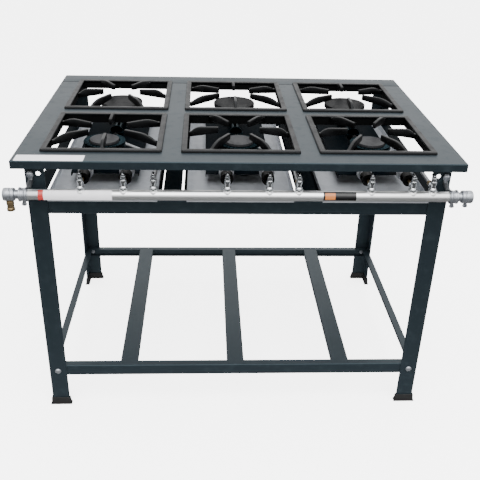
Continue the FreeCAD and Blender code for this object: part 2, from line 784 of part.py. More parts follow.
def crown_burner(column):
    x = column * BURNER_PITCH_FRONT
    tube_x = x + CROWN_TUBE_OFFSET
    riser_y = FRONT_ROW - math.sqrt(CROWN_MIDDLE ** 2 - CROWN_TUBE_OFFSET ** 2)
    neck = rod_y(TUBE_RADIUS, tube_x, OUTLET_Z, STOP_FRONT + STOP_LENGTH, riser_y + PEG_RADIUS)
    riser = upright(PEG_RADIUS, tube_x, riser_y, THIN_SIDES)
    pegs = []
    for turn in (0, math.pi / 2, math.pi):
        peg_x = x + CROWN_MIDDLE * math.cos(turn)
        peg_y = FRONT_ROW + CROWN_MIDDLE * math.sin(turn)
        pegs.append(upright(PEG_RADIUS, peg_x, peg_y, THIN_SIDES))
    casting = joined(crown_ring(x, FRONT_ROW), tube_mouth(tube_x), neck, riser, *pegs)
    return casting.cut([mouth_bore(tube_x), mouth_windows(tube_x)])


def bowl(x, y, radius, rim_z, depth, stem):
    # Open burner bowl on a stem that stands on its plate.
    low = rim_z - depth
    rim_low = rim_z - BOWL_RIM
    outer = [(stem, PLATE_TOP), (stem, low), (radius, rim_low), (radius, rim_z)]
    inside = radius - BOWL_WALL
    inner = [(stem - BOWL_WALL, low + BOWL_WALL), (inside, rim_low), (inside, rim_z)]
    cup = stacked(outer, BOWL_SIDES).cut(stacked(inner, BOWL_SIDES))
    cup = cup.cut(port_slots(BOWL_PORTS, radius, rim_z))
    cup.translate(vec(x, y, 0))
    return cup


def elbow(start, pivot, degrees, radius, sides):
    # Level bend of a tube, turned about the vertical line through pivot.
    points = ring_points(radius, 0, sides)
    section = Part.Face(Part.makePolygon(points + points[:1]))
    heading = vec(0, 0, 1).cross(start - pivot)
    section.Placement = FreeCAD.Placement(start, FreeCAD.Rotation(vec(0, 0, 1), heading))
    return section.revolve(pivot, vec(0, 0, 1), degrees)


def inner_tube(x):
    # Mixing tube of the inner burner: straight back, one bend, then straight to the middle.
    turn = math.radians(INNER_TUBE_TURN)
    start = vec(x + INNER_TUBE_OFFSET, STOP_FRONT + STOP_LENGTH, OUTLET_Z)
    last_run = (INNER_TUBE_OFFSET - INNER_TUBE_BEND * (1 - math.cos(turn))) / math.sin(turn)
    bend_y = FRONT_ROW - last_run * math.cos(turn) - INNER_TUBE_BEND * math.sin(turn)
    bend = vec(start.x, bend_y, OUTLET_Z)
    pivot = bend + vec(-INNER_TUBE_BEND, 0, 0)
    bend_end = pivot + vec(math.cos(turn), math.sin(turn), 0) * INNER_TUBE_BEND
    return [
        rod(TUBE_RADIUS, start, bend),
        elbow(bend, pivot, INNER_TUBE_TURN, TUBE_RADIUS, ROUND_SIDES),
        rod(TUBE_RADIUS, bend_end, vec(x, FRONT_ROW, OUTLET_Z)),
    ]


def inner_burner(column):
    x = column * BURNER_PITCH_FRONT
    tube_x = x + INNER_TUBE_OFFSET
    cup = bowl(x, FRONT_ROW, BOWL_RADIUS, FRONT_RIM_Z, BOWL_DEPTH, STEM_FOOT)
    casting = joined(cup, tube_mouth(tube_x), *inner_tube(x))
    return casting.cut([mouth_bore(tube_x), mouth_windows(tube_x)])


def rear_burner(column):
    # Single bowl with a short mixing tube to the front and a bridge that holds the injector.
    x = column * BURNER_PITCH_REAR
    cup = bowl(x, REAR_ROW, REAR_BOWL_RADIUS, REAR_RIM_Z, REAR_BOWL_DEPTH, REAR_STEM)
    bell_end = REAR_MOUTH + REAR_BELL
    neck = rod_y(TUBE_RADIUS, x, OUTLET_Z, bell_end, REAR_ROW)
    bell_axis = (vec(x, REAR_MOUTH, OUTLET_Z), vec(x, bell_end, OUTLET_Z))
    bell = cone(STOP_RADIUS, TUBE_RADIUS, *bell_axis)
    low = OUTLET_Z - BRIDGE_HEIGHT / 2
    high = OUTLET_Z + BRIDGE_HEIGHT / 2
    plate = box(x - STOP_RADIUS, x + STOP_RADIUS, REAR_BRIDGE, REAR_BRIDGE + BRIDGE_THICK, low, high)
    arms = []
    for side in (-1, 1):
        ends = sorted((x + side * STOP_RADIUS, x + side * (STOP_RADIUS - BRIDGE_THICK)))
        arms.append(box(*ends, REAR_BRIDGE, REAR_MOUTH + BRIDGE_THICK, low, high))
    casting = joined(cup, neck, bell, plate, *arms)
    bore = cone(STOP_RADIUS - BOWL_WALL, MOUTH_BORE, *bell_axis)
    eye_end = REAR_BRIDGE + BRIDGE_THICK
    eye = hole_y(INJECTOR_RADIUS + SCREW_FIT, x, OUTLET_Z, REAR_BRIDGE, eye_end, THIN_SIDES)
    return casting.cut([bore, eye])


def burner_cap(rim_z, radius, height):
    top = rim_z + height
    return stacked([(radius, rim_z), (radius, top - CAP_SLOPE), (radius - CAP_SLOPE, top)], RING_SIDES)


# Manifold, valves and gas lines
def manifold():
    axis = PIPE_AXIS_FRONT
    ends = [vec(-PIPE_HALF, axis, PIPE_Z), vec(PIPE_HALF, axis, PIPE_Z)]
    sockets = []
    bores = [hole(PIPE_RADIUS - PIPE_WALL, *ends, PIPE_SIDES)]
    for column, burner, x in VALVES:
        top = vec(x, axis, SOCKET_TOP)
        sockets.append(rod(SOCKET_RADIUS, vec(x, axis, PIPE_Z), top, THIN_SIDES))
        depth = vec(0, 0, VALVE_SHANK_LENGTH)
        bores.append(hole(VALVE_SHANK + SCREW_FIT, top - depth, top, THIN_SIDES))
    return joined(rod(PIPE_RADIUS, *ends, PIPE_SIDES), *sockets).cut(bores)


def manifold_bracket(side):
    # Collar round the pipe with an arm back and up to a bolted pad on the leg.
    edges = sorted((side * (COLLAR_X - COLLAR_WIDTH / 2), side * (COLLAR_X + COLLAR_WIDTH / 2)))
    ends = [vec(x, PIPE_AXIS_FRONT, PIPE_Z) for x in edges]
    collar = rod(COLLAR_RADIUS, *ends, PIPE_SIDES)
    reach = COLLAR_RADIUS - ARM_ROOT
    low, high = [math.radians(turn) for turn in ARM_START_ANGLES]
    pad_front = LEG_FRONT - ARM_THICK
    arm_join = BRACKET_BOLT_Z - ARM_SETBACK
    corners = [
        (PIPE_AXIS_FRONT + reach * math.cos(low), PIPE_Z + reach * math.sin(low), 0),
        (PIPE_AXIS_FRONT + reach * math.cos(high), PIPE_Z + reach * math.sin(high), 0),
        (pad_front, arm_join, 0),
        (pad_front, BRACKET_BOLT_Z + PAD_HALF, 0),
        (LEG_FRONT, BRACKET_BOLT_Z + PAD_HALF, 0),
        (LEG_FRONT, arm_join - ARM_THICK, 0),
    ]
    arm_edges = sorted((side * (ARM_X - ARM_WIDTH / 2), side * (ARM_X + ARM_WIDTH / 2)))
    arm = extrude(corners, "yz", *arm_edges)
    screw_hole = hole(
        WING_STEM + SCREW_FIT,
        vec(side * COLLAR_X, PIPE_AXIS_FRONT, PIPE_Z - COLLAR_RADIUS),
        vec(side * COLLAR_X, PIPE_AXIS_FRONT, PIPE_Z),
        THIN_SIDES,
    )
    pad_hole = bolt_hole(side * ARM_X, BRACKET_BOLT_Z, pad_front, LEG_FRONT)
    pipe_hole = hole(PIPE_RADIUS + COLLAR_CLEAR, *ends, PIPE_SIDES)
    return joined(collar, arm).cut([pipe_hole, pad_hole, screw_hole])


def end_cap(side):
    # Rounded head on a neck, plugged into the pipe, with a threaded hole in its underside.
    def along(reach):
        return vec(side * reach, PIPE_AXIS_FRONT, PIPE_Z)

    plug = rod(PIPE_RADIUS - PIPE_WALL - SCREW_FIT, along(PIPE_HALF - END_PLUG), along(PIPE_HALF))
    neck = rod(END_NECK_RADIUS, along(PIPE_HALF), along(END_HEAD_START))
    levels = [
        (END_HEAD_RADIUS - END_ROUND, 0),
        (END_HEAD_RADIUS, END_ROUND),
        (END_HEAD_RADIUS, END_HEAD - END_ROUND),
        (END_HEAD_RADIUS - END_ROUND, END_HEAD),
    ]
    head = stacked(levels, ROUND_SIDES)
    turned = FreeCAD.Rotation(vec(0, 0, 1), vec(side, 0, 0))
    head.Placement = FreeCAD.Placement(along(END_HEAD_START), turned)
    hole_bottom = vec(side * END_MIDDLE, PIPE_AXIS_FRONT, PIPE_Z - END_HEAD_RADIUS)
    radius = INLET_SHANK if side < 0 else WING_STEM
    tapped = hole(radius + SCREW_FIT, hole_bottom, hole_bottom + vec(0, 0, END_HEAD_RADIUS), THIN_SIDES)
    return joined(plug, neck, head).cut(tapped)


def inlet_fitting():
    # Bronze nipple hanging from the left end cap, with a threaded socket in its lower end.
    x = -END_MIDDLE
    top = PIPE_Z - END_HEAD_RADIUS
    start = vec(x, PIPE_AXIS_FRONT, top - INLET_LENGTH)
    middle = vec(x, PIPE_AXIS_FRONT, top)
    body = rod(INLET_RADIUS, start, middle)
    shank = rod(INLET_SHANK, middle, middle + vec(0, 0, INLET_SHANK_LENGTH), THIN_SIDES)
    return joined(body, shank).cut(Part.makeCylinder(INLET_BORE, INLET_DEPTH, start))


def valve_body(x):
    axis = PIPE_AXIS_FRONT

    def above(level):
        return vec(x, axis, level)

    hex_base = hexagon(VALVE_HEX, "xy", x, axis, SOCKET_TOP, SOCKET_TOP + VALVE_HEX_HEIGHT)
    barrel = rod(VALVE_BARREL, above(SOCKET_TOP), above(VALVE_TOP))
    shank = rod(VALVE_SHANK, above(SOCKET_TOP - VALVE_SHANK_LENGTH), above(SOCKET_TOP), THIN_SIDES)
    horn = rod_y(HORN_RADIUS, x, OUTLET_Z, axis, HORN_END, THIN_SIDES)
    bore = hole(STEM_RADIUS + STEM_FIT, above(VALVE_TOP - STEM_DEPTH), above(VALVE_TOP), THIN_SIDES)
    return joined(barrel, hex_base, shank, horn).cut(bore)


def valve_handle(x):
    # Plug stem, six-sided hub and a lever that lies front to back, tapered at both ends.
    axis = PIPE_AXIS_FRONT
    hub_low = VALVE_TOP + HUB_RISE
    lever_low = hub_low + HUB_HEIGHT
    stem_low = VALVE_TOP - STEM_DEPTH + HUB_RISE
    stem = rod(STEM_RADIUS, vec(x, axis, stem_low), vec(x, axis, hub_low), THIN_SIDES)
    hub = hexagon(HUB_HEX, "xy", x, axis, hub_low, lever_low)
    half = LEVER_LENGTH / 2
    wide = LEVER_WIDTH / 2
    tip = half - LEVER_TAPER
    corners = [
        (x - wide, axis - tip, 0),
        (x - wide / 2, axis - half, 0),
        (x + wide / 2, axis - half, 0),
        (x + wide, axis - tip, 0),
        (x + wide, axis + tip, 0),
        (x + wide / 2, axis + half, 0),
        (x - wide / 2, axis + half, 0),
        (x - wide, axis + tip, 0),
    ]
    lever = extrude(corners, "xy", lever_low, lever_low + LEVER_HEIGHT)
    return joined(stem, hub, lever)


def injector(x, y):
    # Hexagon head seated at y, nozzle pointing back into the mixing tube.
    shoulder = y + INJECTOR_HEX_LENGTH
    head = hexagon(INJECTOR_HEX, "xz", x, OUTLET_Z, y, shoulder)
    nozzle_end = shoulder + INJECTOR_NOZZLE
    nozzle = rod_y(INJECTOR_RADIUS, x, OUTLET_Z, shoulder, nozzle_end - INJECTOR_RADIUS, THIN_SIDES)
    tip_start = vec(x, nozzle_end - INJECTOR_RADIUS, OUTLET_Z)
    tip = cone(INJECTOR_RADIUS, INJECTOR_TIP, tip_start, vec(x, nozzle_end, OUTLET_Z), THIN_SIDES)
    return joined(head, nozzle, tip)


def gas_line(column):
    # Thin tube from the third valve straight back, then an S bend across to the rear injector.
    start_x = column * BURNER_PITCH_FRONT + REAR_VALVE_OFFSETS[column + 1]
    end_x = column * BURNER_PITCH_REAR
    end_y = REAR_BRIDGE - INJECTOR_HEX_LENGTH
    turn = math.radians(LINE_TURN)
    shift = start_x - end_x
    arc_x = LINE_BEND * (1 - math.cos(turn))
    arc_y = LINE_BEND * math.sin(turn)
    slant = (shift - 2 * arc_x) / math.sin(turn)
    bend_y = end_y - LINE_STRAIGHT_END - 2 * arc_y - slant * math.cos(turn)

    def at(x, y):
        return vec(x, y, OUTLET_Z)

    first_pivot = at(start_x - LINE_BEND, bend_y)
    second_pivot = at(end_x + LINE_BEND, end_y - LINE_STRAIGHT_END)
    swing = vec(math.cos(turn), math.sin(turn), 0) * LINE_BEND
    first_bend = at(start_x, bend_y)
    second_bend = second_pivot - swing
    pieces = [
        rod(LINE_RADIUS, at(start_x, HORN_END), first_bend, LINE_SIDES),
        elbow(first_bend, first_pivot, LINE_TURN, LINE_RADIUS, LINE_SIDES),
        rod(LINE_RADIUS, first_pivot + swing, second_bend, LINE_SIDES),
        elbow(second_bend, second_pivot, -LINE_TURN, LINE_RADIUS, LINE_SIDES),
        rod(LINE_RADIUS, at(end_x, end_y - LINE_STRAIGHT_END), at(end_x, end_y), LINE_SIDES),
    ]
    nuts = [
        hexagon(NUT_HEX, "xz", start_x, OUTLET_Z, HORN_END, HORN_END + LINE_NUT_LENGTH),
        hexagon(NUT_HEX, "xz", end_x, OUTLET_Z, end_y - LINE_NUT_LENGTH, end_y),
    ]
    return joined(*pieces, *nuts)


# Fasteners
def bolt(x, z, face_y, way, grip):
    # Round head against face_y, shank pointing in the direction way, long enough for the nut.
    end = face_y + way * (grip + NUT_HEIGHT + BOLT_PROUD)
    top = face_y - way * BOLT_HEAD_HEIGHT
    head = cone(BOLT_HEAD, BOLT_HEAD / 2, vec(x, face_y, z), vec(x, top, z))
    return joined(head, rod_y(BOLT_RADIUS, x, z, face_y, end, THIN_SIDES))


def nut(x, z, face_y, way):
    low, high = sorted((face_y, face_y + way * NUT_HEIGHT))
    hexagonal = hexagon(NUT_HEX, "xz", x, z, low, high)
    return hexagonal.cut(hole_y(BOLT_RADIUS + SCREW_FIT, x, z, low, high, THIN_SIDES))


def wing_screw(x, underside, reach):
    axis = PIPE_AXIS_FRONT
    low = underside - WING_DROP
    stem = rod(WING_STEM, vec(x, axis, low), vec(x, axis, underside + reach), THIN_SIDES)
    half = WING_SPAN / 2
    front = axis - WING_THICK / 2
    wings = box(x - half, x + half, front, front + WING_THICK, low - WING_HEIGHT, low)
    return joined(stem, wings)


def fasteners():
    pieces = []
    for side in (-1, 1):
        for face_y, way in ((LEG_FRONT, 1), (LEG_REAR, -1)):
            grip = LEG_SHEET + SHEET
            pieces.append(bolt(side * SHELF_BOLT_X, SHELF_BOLT_Z, face_y, way, grip))
            pieces.append(nut(side * SHELF_BOLT_X, SHELF_BOLT_Z, face_y + way * grip, way))
        pad_grip = ARM_THICK + LEG_SHEET
        pieces.append(bolt(side * ARM_X, BRACKET_BOLT_Z, LEG_FRONT - ARM_THICK, 1, pad_grip))
        pieces.append(nut(side * ARM_X, BRACKET_BOLT_Z, LEG_FRONT + LEG_SHEET, 1))
        collar_reach = COLLAR_RADIUS - PIPE_RADIUS - SCREW_FIT
        pieces.append(wing_screw(side * COLLAR_X, PIPE_Z - COLLAR_RADIUS, collar_reach))
    pieces.append(wing_screw(END_MIDDLE, PIPE_Z - END_HEAD_RADIUS, INLET_SHANK_LENGTH))
    return pieces


# All pieces, one file each
os.makedirs("parts", exist_ok=True)

SIDES = (-1, 1)
save("top_front_bar", wide_bar(FRONT_BAR))
save("top_rear_bar", rear_bar())
save("top_side_bars", *[side_bar(side) for side in SIDES])
save("top_mid_bars", *[middle_bar(side) for side in SIDES])
save("top_cross_bars", *[cross_bar(column) for column in COLUMNS])

SIDE_NAMES = {-1: "left", 1: "right"}
for side in SIDES:
    save("leg_front_" + SIDE_NAMES[side], leg(side, 1, LEG_FRONT))
    save("leg_rear_" + SIDE_NAMES[side], leg(side, -1, LEG_REAR))
shoes = [foot_shoe(side, 1, LEG_FRONT) for side in SIDES]
shoes += [foot_shoe(side, -1, LEG_REAR) for side in SIDES]
save("foot_shoes", *shoes)

APRON = (APRON_TOP, APRON_HEIGHT, APRON_FLANGE, APRON_RETURN)
SIDE_APRON = (APRON_TOP, APRON_HEIGHT, APRON_SIDE_FLANGE, APRON_RETURN, APRON_FLANGE)
RAIL = (SHELF_HEIGHT, RAIL_HEIGHT, RAIL_FLANGE, RAIL_RETURN)
save("front_apron", long_channel(INNER_FRONT, 1, *APRON))
save("rear_apron", long_channel(INNER_REAR, -1, *APRON))
save("side_aprons", *[side_channel(side, *SIDE_APRON) for side in SIDES])
save("shelf_long_rails", shelf_rail(INNER_FRONT, 1), shelf_rail(INNER_REAR, -1))
save("shelf_side_rails", *[side_channel(side, *RAIL, RAIL_FLANGE) for side in SIDES])
save("shelf_slats", *[shelf_slat(index) for index in range(SLAT_COUNT)])
save("frame_fasteners", *fasteners())

rails = [hat_rail(side) for side in SIDES]
rails += [hat_ledge(side, way) for side in SIDES for way in SIDES]
rails += [side_ledge(side) for side in SIDES]
rails += [side_post(side, front) for side in SIDES for front in (CROSS_BAR_FRONT, CROSS_BAR_REAR)]
save("tray_rails", *rails)
save("burner_cross_bars", burner_cross_bar(CROSS_BAR_FRONT), burner_cross_bar(CROSS_BAR_REAR))
save("burner_plates", *[burner_plate(column) for column in COLUMNS])
save("crown_burners", *[crown_burner(column) for column in COLUMNS])
save("inner_burners", *[inner_burner(column) for column in COLUMNS])
save("rear_burners", *[rear_burner(column) for column in COLUMNS])

save("gas_manifold", manifold())
save("manifold_brackets", *[manifold_bracket(side) for side in SIDES])
save("manifold_end_caps", *[end_cap(side) for side in SIDES])
save("gas_inlet_fitting", inlet_fitting())
save("valve_bodies", *[valve_body(x) for column, burner, x in VALVES])
nozzles = [injector(x, HORN_END) for column, burner, x in VALVES if burner != "rear"]
for column in COLUMNS:
    nozzles.append(injector(column * BURNER_PITCH_REAR, REAR_BRIDGE - INJECTOR_HEX_LENGTH))
save("injectors", *nozzles)
save("rear_gas_lines", *[gas_line(column) for column in COLUMNS])

for column, burner, x in VALVES:
    column_name = COLUMN_NAMES[column + 1]
    save("valve_handle_" + column_name + "_" + burner, valve_handle(x))
    if burner != "rear":
        save("air_shutter_" + column_name + "_" + burner, air_shutter(x))

for column in COLUMNS:
    column_name = COLUMN_NAMES[column + 1]
    save("drip_tray_" + column_name, drip_tray(column))
    save("grate_front_" + column_name, grate(column, FRONT_ROW, FRONT_TURNS[column + 1]))
    save("grate_rear_" + column_name, grate(column, REAR_ROW, REAR_TURNS[column + 1]))
    front_cap = burner_cap(FRONT_RIM_Z, FRONT_CAP_RADIUS, FRONT_CAP_HEIGHT)
    front_cap.translate(vec(column * BURNER_PITCH_FRONT, FRONT_ROW, 0))
    save("cap_front_" + column_name, front_cap)
    rear_cap = burner_cap(REAR_RIM_Z, REAR_CAP_RADIUS, REAR_CAP_HEIGHT)
    rear_cap.translate(vec(column * BURNER_PITCH_REAR, REAR_ROW, 0))
    save("cap_rear_" + column_name, rear_cap)
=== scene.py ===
import math

import bmesh
import bpy
from mathutils import Matrix, Vector


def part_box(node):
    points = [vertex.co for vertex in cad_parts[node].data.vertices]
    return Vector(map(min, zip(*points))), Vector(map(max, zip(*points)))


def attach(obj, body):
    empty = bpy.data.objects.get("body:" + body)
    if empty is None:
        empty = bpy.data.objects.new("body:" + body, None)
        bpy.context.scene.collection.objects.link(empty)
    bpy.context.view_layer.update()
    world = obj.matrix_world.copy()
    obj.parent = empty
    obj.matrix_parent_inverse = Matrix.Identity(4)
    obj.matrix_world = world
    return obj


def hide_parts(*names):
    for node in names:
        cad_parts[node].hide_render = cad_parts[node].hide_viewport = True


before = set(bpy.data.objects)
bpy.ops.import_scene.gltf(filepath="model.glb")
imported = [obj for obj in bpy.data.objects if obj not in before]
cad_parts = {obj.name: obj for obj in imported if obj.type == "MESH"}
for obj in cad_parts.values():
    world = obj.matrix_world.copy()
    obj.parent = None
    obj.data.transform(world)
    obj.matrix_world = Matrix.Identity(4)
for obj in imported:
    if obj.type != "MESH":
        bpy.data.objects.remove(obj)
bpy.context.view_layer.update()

# Pieces are modelled in millimetres: x from the middle, y back from the front edge of the top,
# z from the floor
mm = 0.001
toFrame = Matrix.Translation((0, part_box("top_front_bar")[0].y, 0)) @ Matrix.Scale(mm, 4)
toMm = toFrame.inverted()
up = Vector((0, 0, 1))
back = Vector((0, 1, 0))
right = Vector((1, 0, 0))
near = 0.1                 # points closer than this are at the same place
sides = (-1, 1)
columns = ("left", "middle", "right")
rows = ("front", "rear")
tubeKinds = ("crown", "inner")     # the two mixing tubes of a front burner
fixedBody = "stove_frame"


def boxOf(node):
    low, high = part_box(node)
    return toMm @ low, toMm @ high


def centreOf(node):
    low, high = boxOf(node)
    return (low + high) / 2


def shutterNode(column, kind):
    return "air_shutter_" + column + "_" + kind


shutterNodes = [shutterNode(column, kind) for column in columns for kind in tubeKinds]


# Shader maths: a wire is one output socket, and sums on wires add Math nodes
class Wire:
    def __init__(self, finish, socket):
        self.finish = finish
        self.socket = socket

    def math(self, operation, first, second):
        return self.finish.add("ShaderNodeMath", {0: first, 1: second}, operation=operation)

    def __add__(self, other):
        return self.math("ADD", self, other)

    def __sub__(self, other):
        return self.math("SUBTRACT", self, other)

    def __rsub__(self, other):
        return self.math("SUBTRACT", other, self)

    def __mul__(self, other):
        return self.math("MULTIPLY", self, other)

    __radd__ = __add__
    __rmul__ = __mul__

    def absolute(self):
        return self.math("ABSOLUTE", self, 0.0)

    def larger(self, other):
        return self.math("MAXIMUM", self, other)


# What a tone sets on the shader, the same all over a surface
toneSockets = {"tint": "Specular Tint", "shine": "Specular IOR Level", "metal": "Metallic"}


class Finish:
    def __init__(self, name):
        self.material = bpy.data.materials.new(name)
        self.material.use_nodes = True
        self.tree = self.material.node_tree
        self.tree.nodes.clear()
        self.shader = self.tree.nodes.new("ShaderNodeBsdfPrincipled")
        self.output = self.tree.nodes.new("ShaderNodeOutputMaterial")
        self.tree.links.new(self.shader.outputs[0], self.output.inputs["Surface"])
        self.place = self.add("ShaderNodeTexCoord", {}, out="Object")

    def add(self, kind, sockets, out=0, **settings):
        node = self.tree.nodes.new(kind)
        for name, value in settings.items():
            setattr(node, name, value)
        self.fill(node, sockets)
        return Wire(self, node.outputs[out])

    def fill(self, node, sockets):
        # Wires are linked, and other values set
        for name, value in sockets.items():
            if isinstance(value, Wire):
                self.tree.links.new(value.socket, node.inputs[name])
            else:
                node.inputs[name].default_value = value

    def noise(self, scale, detail=3, roughness=0.5, place=None):
        sockets = {"Vector": place or self.place, "Scale": scale, "Detail": detail, "Roughness": roughness}
        return self.add("ShaderNodeTexNoise", sockets)

    def band(self, wire, low, high):
        # 0 below low, 1 above high, straight between
        return self.add("ShaderNodeMapRange", {"Value": wire, "From Min": low, "From Max": high})

    def patches(self, low, high, **grain):
        return self.band(self.noise(**grain), low, high)

    def blend(self, factor, first, second):
        sockets = {0: factor, 6: (*first, 1) if isinstance(first, tuple) else first, 7: (*second, 1)}
        return self.add("ShaderNodeMix", sockets, out=2, data_type="RGBA")

    def stretched(self, scale):
        return self.add("ShaderNodeMapping", {"Vector": self.place, "Scale": scale})

    def cover(self, mask, coat):
        # A plain dull coat over the finish where the mask is 1
        look = {"Base Color": (*coat["colour"], 1), "Roughness": coat["rough"],
                "Specular IOR Level": coat["shine"]}
        dull = self.add("ShaderNodeBsdfPrincipled", look)
        layers = {0: mask, 1: Wire(self, self.shader.outputs[0]), 2: dull}
        self.fill(self.output, {"Surface": self.add("ShaderNodeMixShader", layers)})

    def set(self, colour, rough, tone, grain, strength, distance):
        # Colour, roughness and the bumps of the grain vary over the surface
        bumps = self.add("ShaderNodeBump", {"Height": grain, "Strength": strength, "Distance": distance})
        even = {name: tone[key] for key, name in toneSockets.items() if key in tone}
        self.fill(self.shader, {"Base Color": colour, "Roughness": rough, "Normal": bumps, **even})
        return self.material


# Dark paint of the frame; black paint of the plates, made darker still as painted shade; and painted shade
# on the walls of the openings in the top, with a dark seam line at the rear bar
paint = {
    "colour": (0.0088, 0.0130, 0.0162), "dusty": (0.022, 0.030, 0.035), "tint": (0.66, 0.88, 1.0, 1),
    "shine": 0.42, "rough": 0.34,
    "peel": 0.00012,       # depth of the orange peel, in metres
}
# Black paint, darkened further as painted shade, for the plates, rails, cross bars and side aprons under
# the top
blackPaintAndShade = {
    "colour": (0.0012, 0.0034, 0.0054), "dusty": (0.0022, 0.0044, 0.0062), "tint": (0.52, 0.82, 1.0, 1),
    "shine": 0.015, "rough": 0.46,
    "peel": 0.00020,
}
paintWear = {"deep": 0.78, "dust": 0.35, "cloudRough": 0.10, "dustRough": 0.12}
# Painted shade on the walls of the openings in the top, and the dark seam line at the rear bar
wallShadeAndSeam = {
    "colour": (0.0004, 0.0005, 0.0006), "rough": 0.6, "shine": 0.08,
    "front": 0.045,        # metres behind the front edge where the openings begin
    "side": 0.53,          # metres from the middle where they have ended
    "fade": 0.008,
    "clear": 0.0004,       # how far below the top face the painted shade starts
    "seam": 0.0026,        # half width of the dark seam
    "seamCore": 0.8,       # the part of it that is quite dark
}


def shadeAndSeamMask(finish):
    # 1 on the walls of the grate openings, where it paints shade, and in the dark seam at the rear bar; 0
    # on the top face and outer lips
    across, depth, height = [finish.add("ShaderNodeSeparateXYZ", {0: finish.place}, out=axis)
                             for axis in range(3)]
    low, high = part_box("top_front_bar")
    front = low.y + wallShadeAndSeam["front"]
    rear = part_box("top_rear_bar")[0].y
    fade = wallShadeAndSeam["fade"]
    begun = finish.band(depth, front, front + fade)
    ended = finish.band(depth, rear + fade / 2, rear + fade)
    aside = finish.band(across.absolute(), wallShadeAndSeam["side"], wallShadeAndSeam["side"] + fade)
    above = finish.band(height, high.z - 2 * wallShadeAndSeam["clear"], high.z - wallShadeAndSeam["clear"])
    walls = begun * (1 - ended) * (1 - aside) * (1 - above)
    off = (depth - rear).absolute()
    seam = 1 - finish.band(off, wallShadeAndSeam["seamCore"] * wallShadeAndSeam["seam"], wallShadeAndSeam["seam"])
    return walls.larger(seam)


def paintFinish(name, tone, shadedWalls=False):
    finish = Finish(name)
    cloud = finish.noise(scale=7, detail=4)
    dust = finish.patches(low=0.52, high=0.80, scale=38, detail=5, roughness=0.6)
    peel = finish.noise(scale=420, detail=2)
    colour = finish.blend(cloud, tone["colour"], tuple(paintWear["deep"] * part for part in tone["colour"]))
    colour = finish.blend(paintWear["dust"] * dust, colour, tone["dusty"])
    rough = tone["rough"] + paintWear["cloudRough"] * cloud + paintWear["dustRough"] * dust
    # Painted shade on the walls of the grate openings, and a dark seam line
    if shadedWalls:
        finish.cover(shadeAndSeamMask(finish), wallShadeAndSeam)
    return finish.set(colour, rough, tone, peel, strength=0.35, distance=tone["peel"])


iron = {
    "colour": (0.0003, 0.0003, 0.0004), "worn": (0.0011, 0.0011, 0.0013), "tint": (0.92, 0.96, 1, 1),
    "shine": 0.20, "rough": 0.32,
}
blued = {
    "colour": (0.0032, 0.0062, 0.0082), "worn": (0.0055, 0.0090, 0.0112), "tint": (0.54, 0.605, 0.635, 1),
    "shine": 0.50, "rough": 0.22, "metal": 1.0,
}
ironWear = {"speck": 0.5, "patchRough": 0.14, "speckSmooth": 0.10}


def ironFinish(name, tone):
    finish = Finish(name)
    sand = finish.noise(scale=650, roughness=0.6)
    patch = finish.patches(low=0.40, high=0.72, scale=26, detail=4, roughness=0.55)
    speck = finish.patches(low=0.60, high=0.75, scale=240, detail=2)
    colour = finish.blend(patch, tone["colour"], tone["worn"])
    colour = finish.blend(ironWear["speck"] * speck, colour, tone["worn"])
    rough = tone["rough"] + ironWear["patchRough"] * patch - ironWear["speckSmooth"] * speck
    return finish.set(colour, rough, tone, sand, strength=0.25, distance=0.0004)


sheetZinc = {
    "light": (0.52, 0.545, 0.58), "grey": (0.35, 0.37, 0.40), "rough": 0.40, "metal": 0.50,
    "cells": 70, "spangle": 0.35, "streak": 0.65, "streakRough": 0.16,
}


def galvanisedFinish():
    finish = Finish("galvanisedSheet")
    cells = {"Vector": finish.place, "Scale": sheetZinc["cells"]}
    spangle = finish.add("ShaderNodeTexVoronoi", cells, out=1, feature="F1")
    grey = finish.add("ShaderNodeSeparateColor", {"Color": spangle})
    streak = finish.noise(scale=30, place=finish.stretched((1.0, 0.06, 1.0)))
    share = sheetZinc["spangle"] * grey + sheetZinc["streak"] * streak
    colour = finish.blend(share, sheetZinc["light"], sheetZinc["grey"])
    rough = sheetZinc["rough"] + sheetZinc["streakRough"] * streak
    return finish.set(colour, rough, sheetZinc, streak, strength=0.08, distance=0.0006)


pipeMetal = {"bright": (0.84, 0.85, 0.85), "dull": (0.72, 0.73, 0.74), "rough": 0.27, "metal": 0.92}
lineMetal = {"bright": (0.46, 0.47, 0.48), "dull": (0.32, 0.33, 0.34), "rough": 0.36, "metal": 0.92}
pipeWear = {"drawn": 0.3, "smear": 0.4, "smearRough": 0.06}


def pipeFinish(name, tone):
    finish = Finish(name)
    drawn = finish.noise(scale=60, detail=2, place=finish.stretched((0.01, 1.0, 1.0)))
    smear = finish.patches(low=0.35, high=0.75, scale=9, detail=2)
    share = pipeWear["drawn"] * drawn + pipeWear["smear"] * smear
    colour = finish.blend(share, tone["bright"], tone["dull"])
    rough = tone["rough"] + pipeWear["smearRough"] * smear
    return finish.set(colour, rough, tone, drawn, strength=0.02, distance=0.0001)


# Coats that are worn in patches. Base is how much of the worn colour lies all over, and share how much
# more of it the patches have
def wornFinish(name, tone):
    finish = Finish(name)
    patch = finish.patches(**tone["patch"])
    grain = finish.noise(**tone["grain"])
    worn = tone.get("base", 0) + tone["share"] * patch
    colour = finish.blend(worn, tone["colour"], tone.get("worn", tone["colour"]))
    rough = tone["rough"] + tone["wornRough"] * patch
    return finish.set(colour, rough, tone, grain, tone["strength"], tone["distance"])


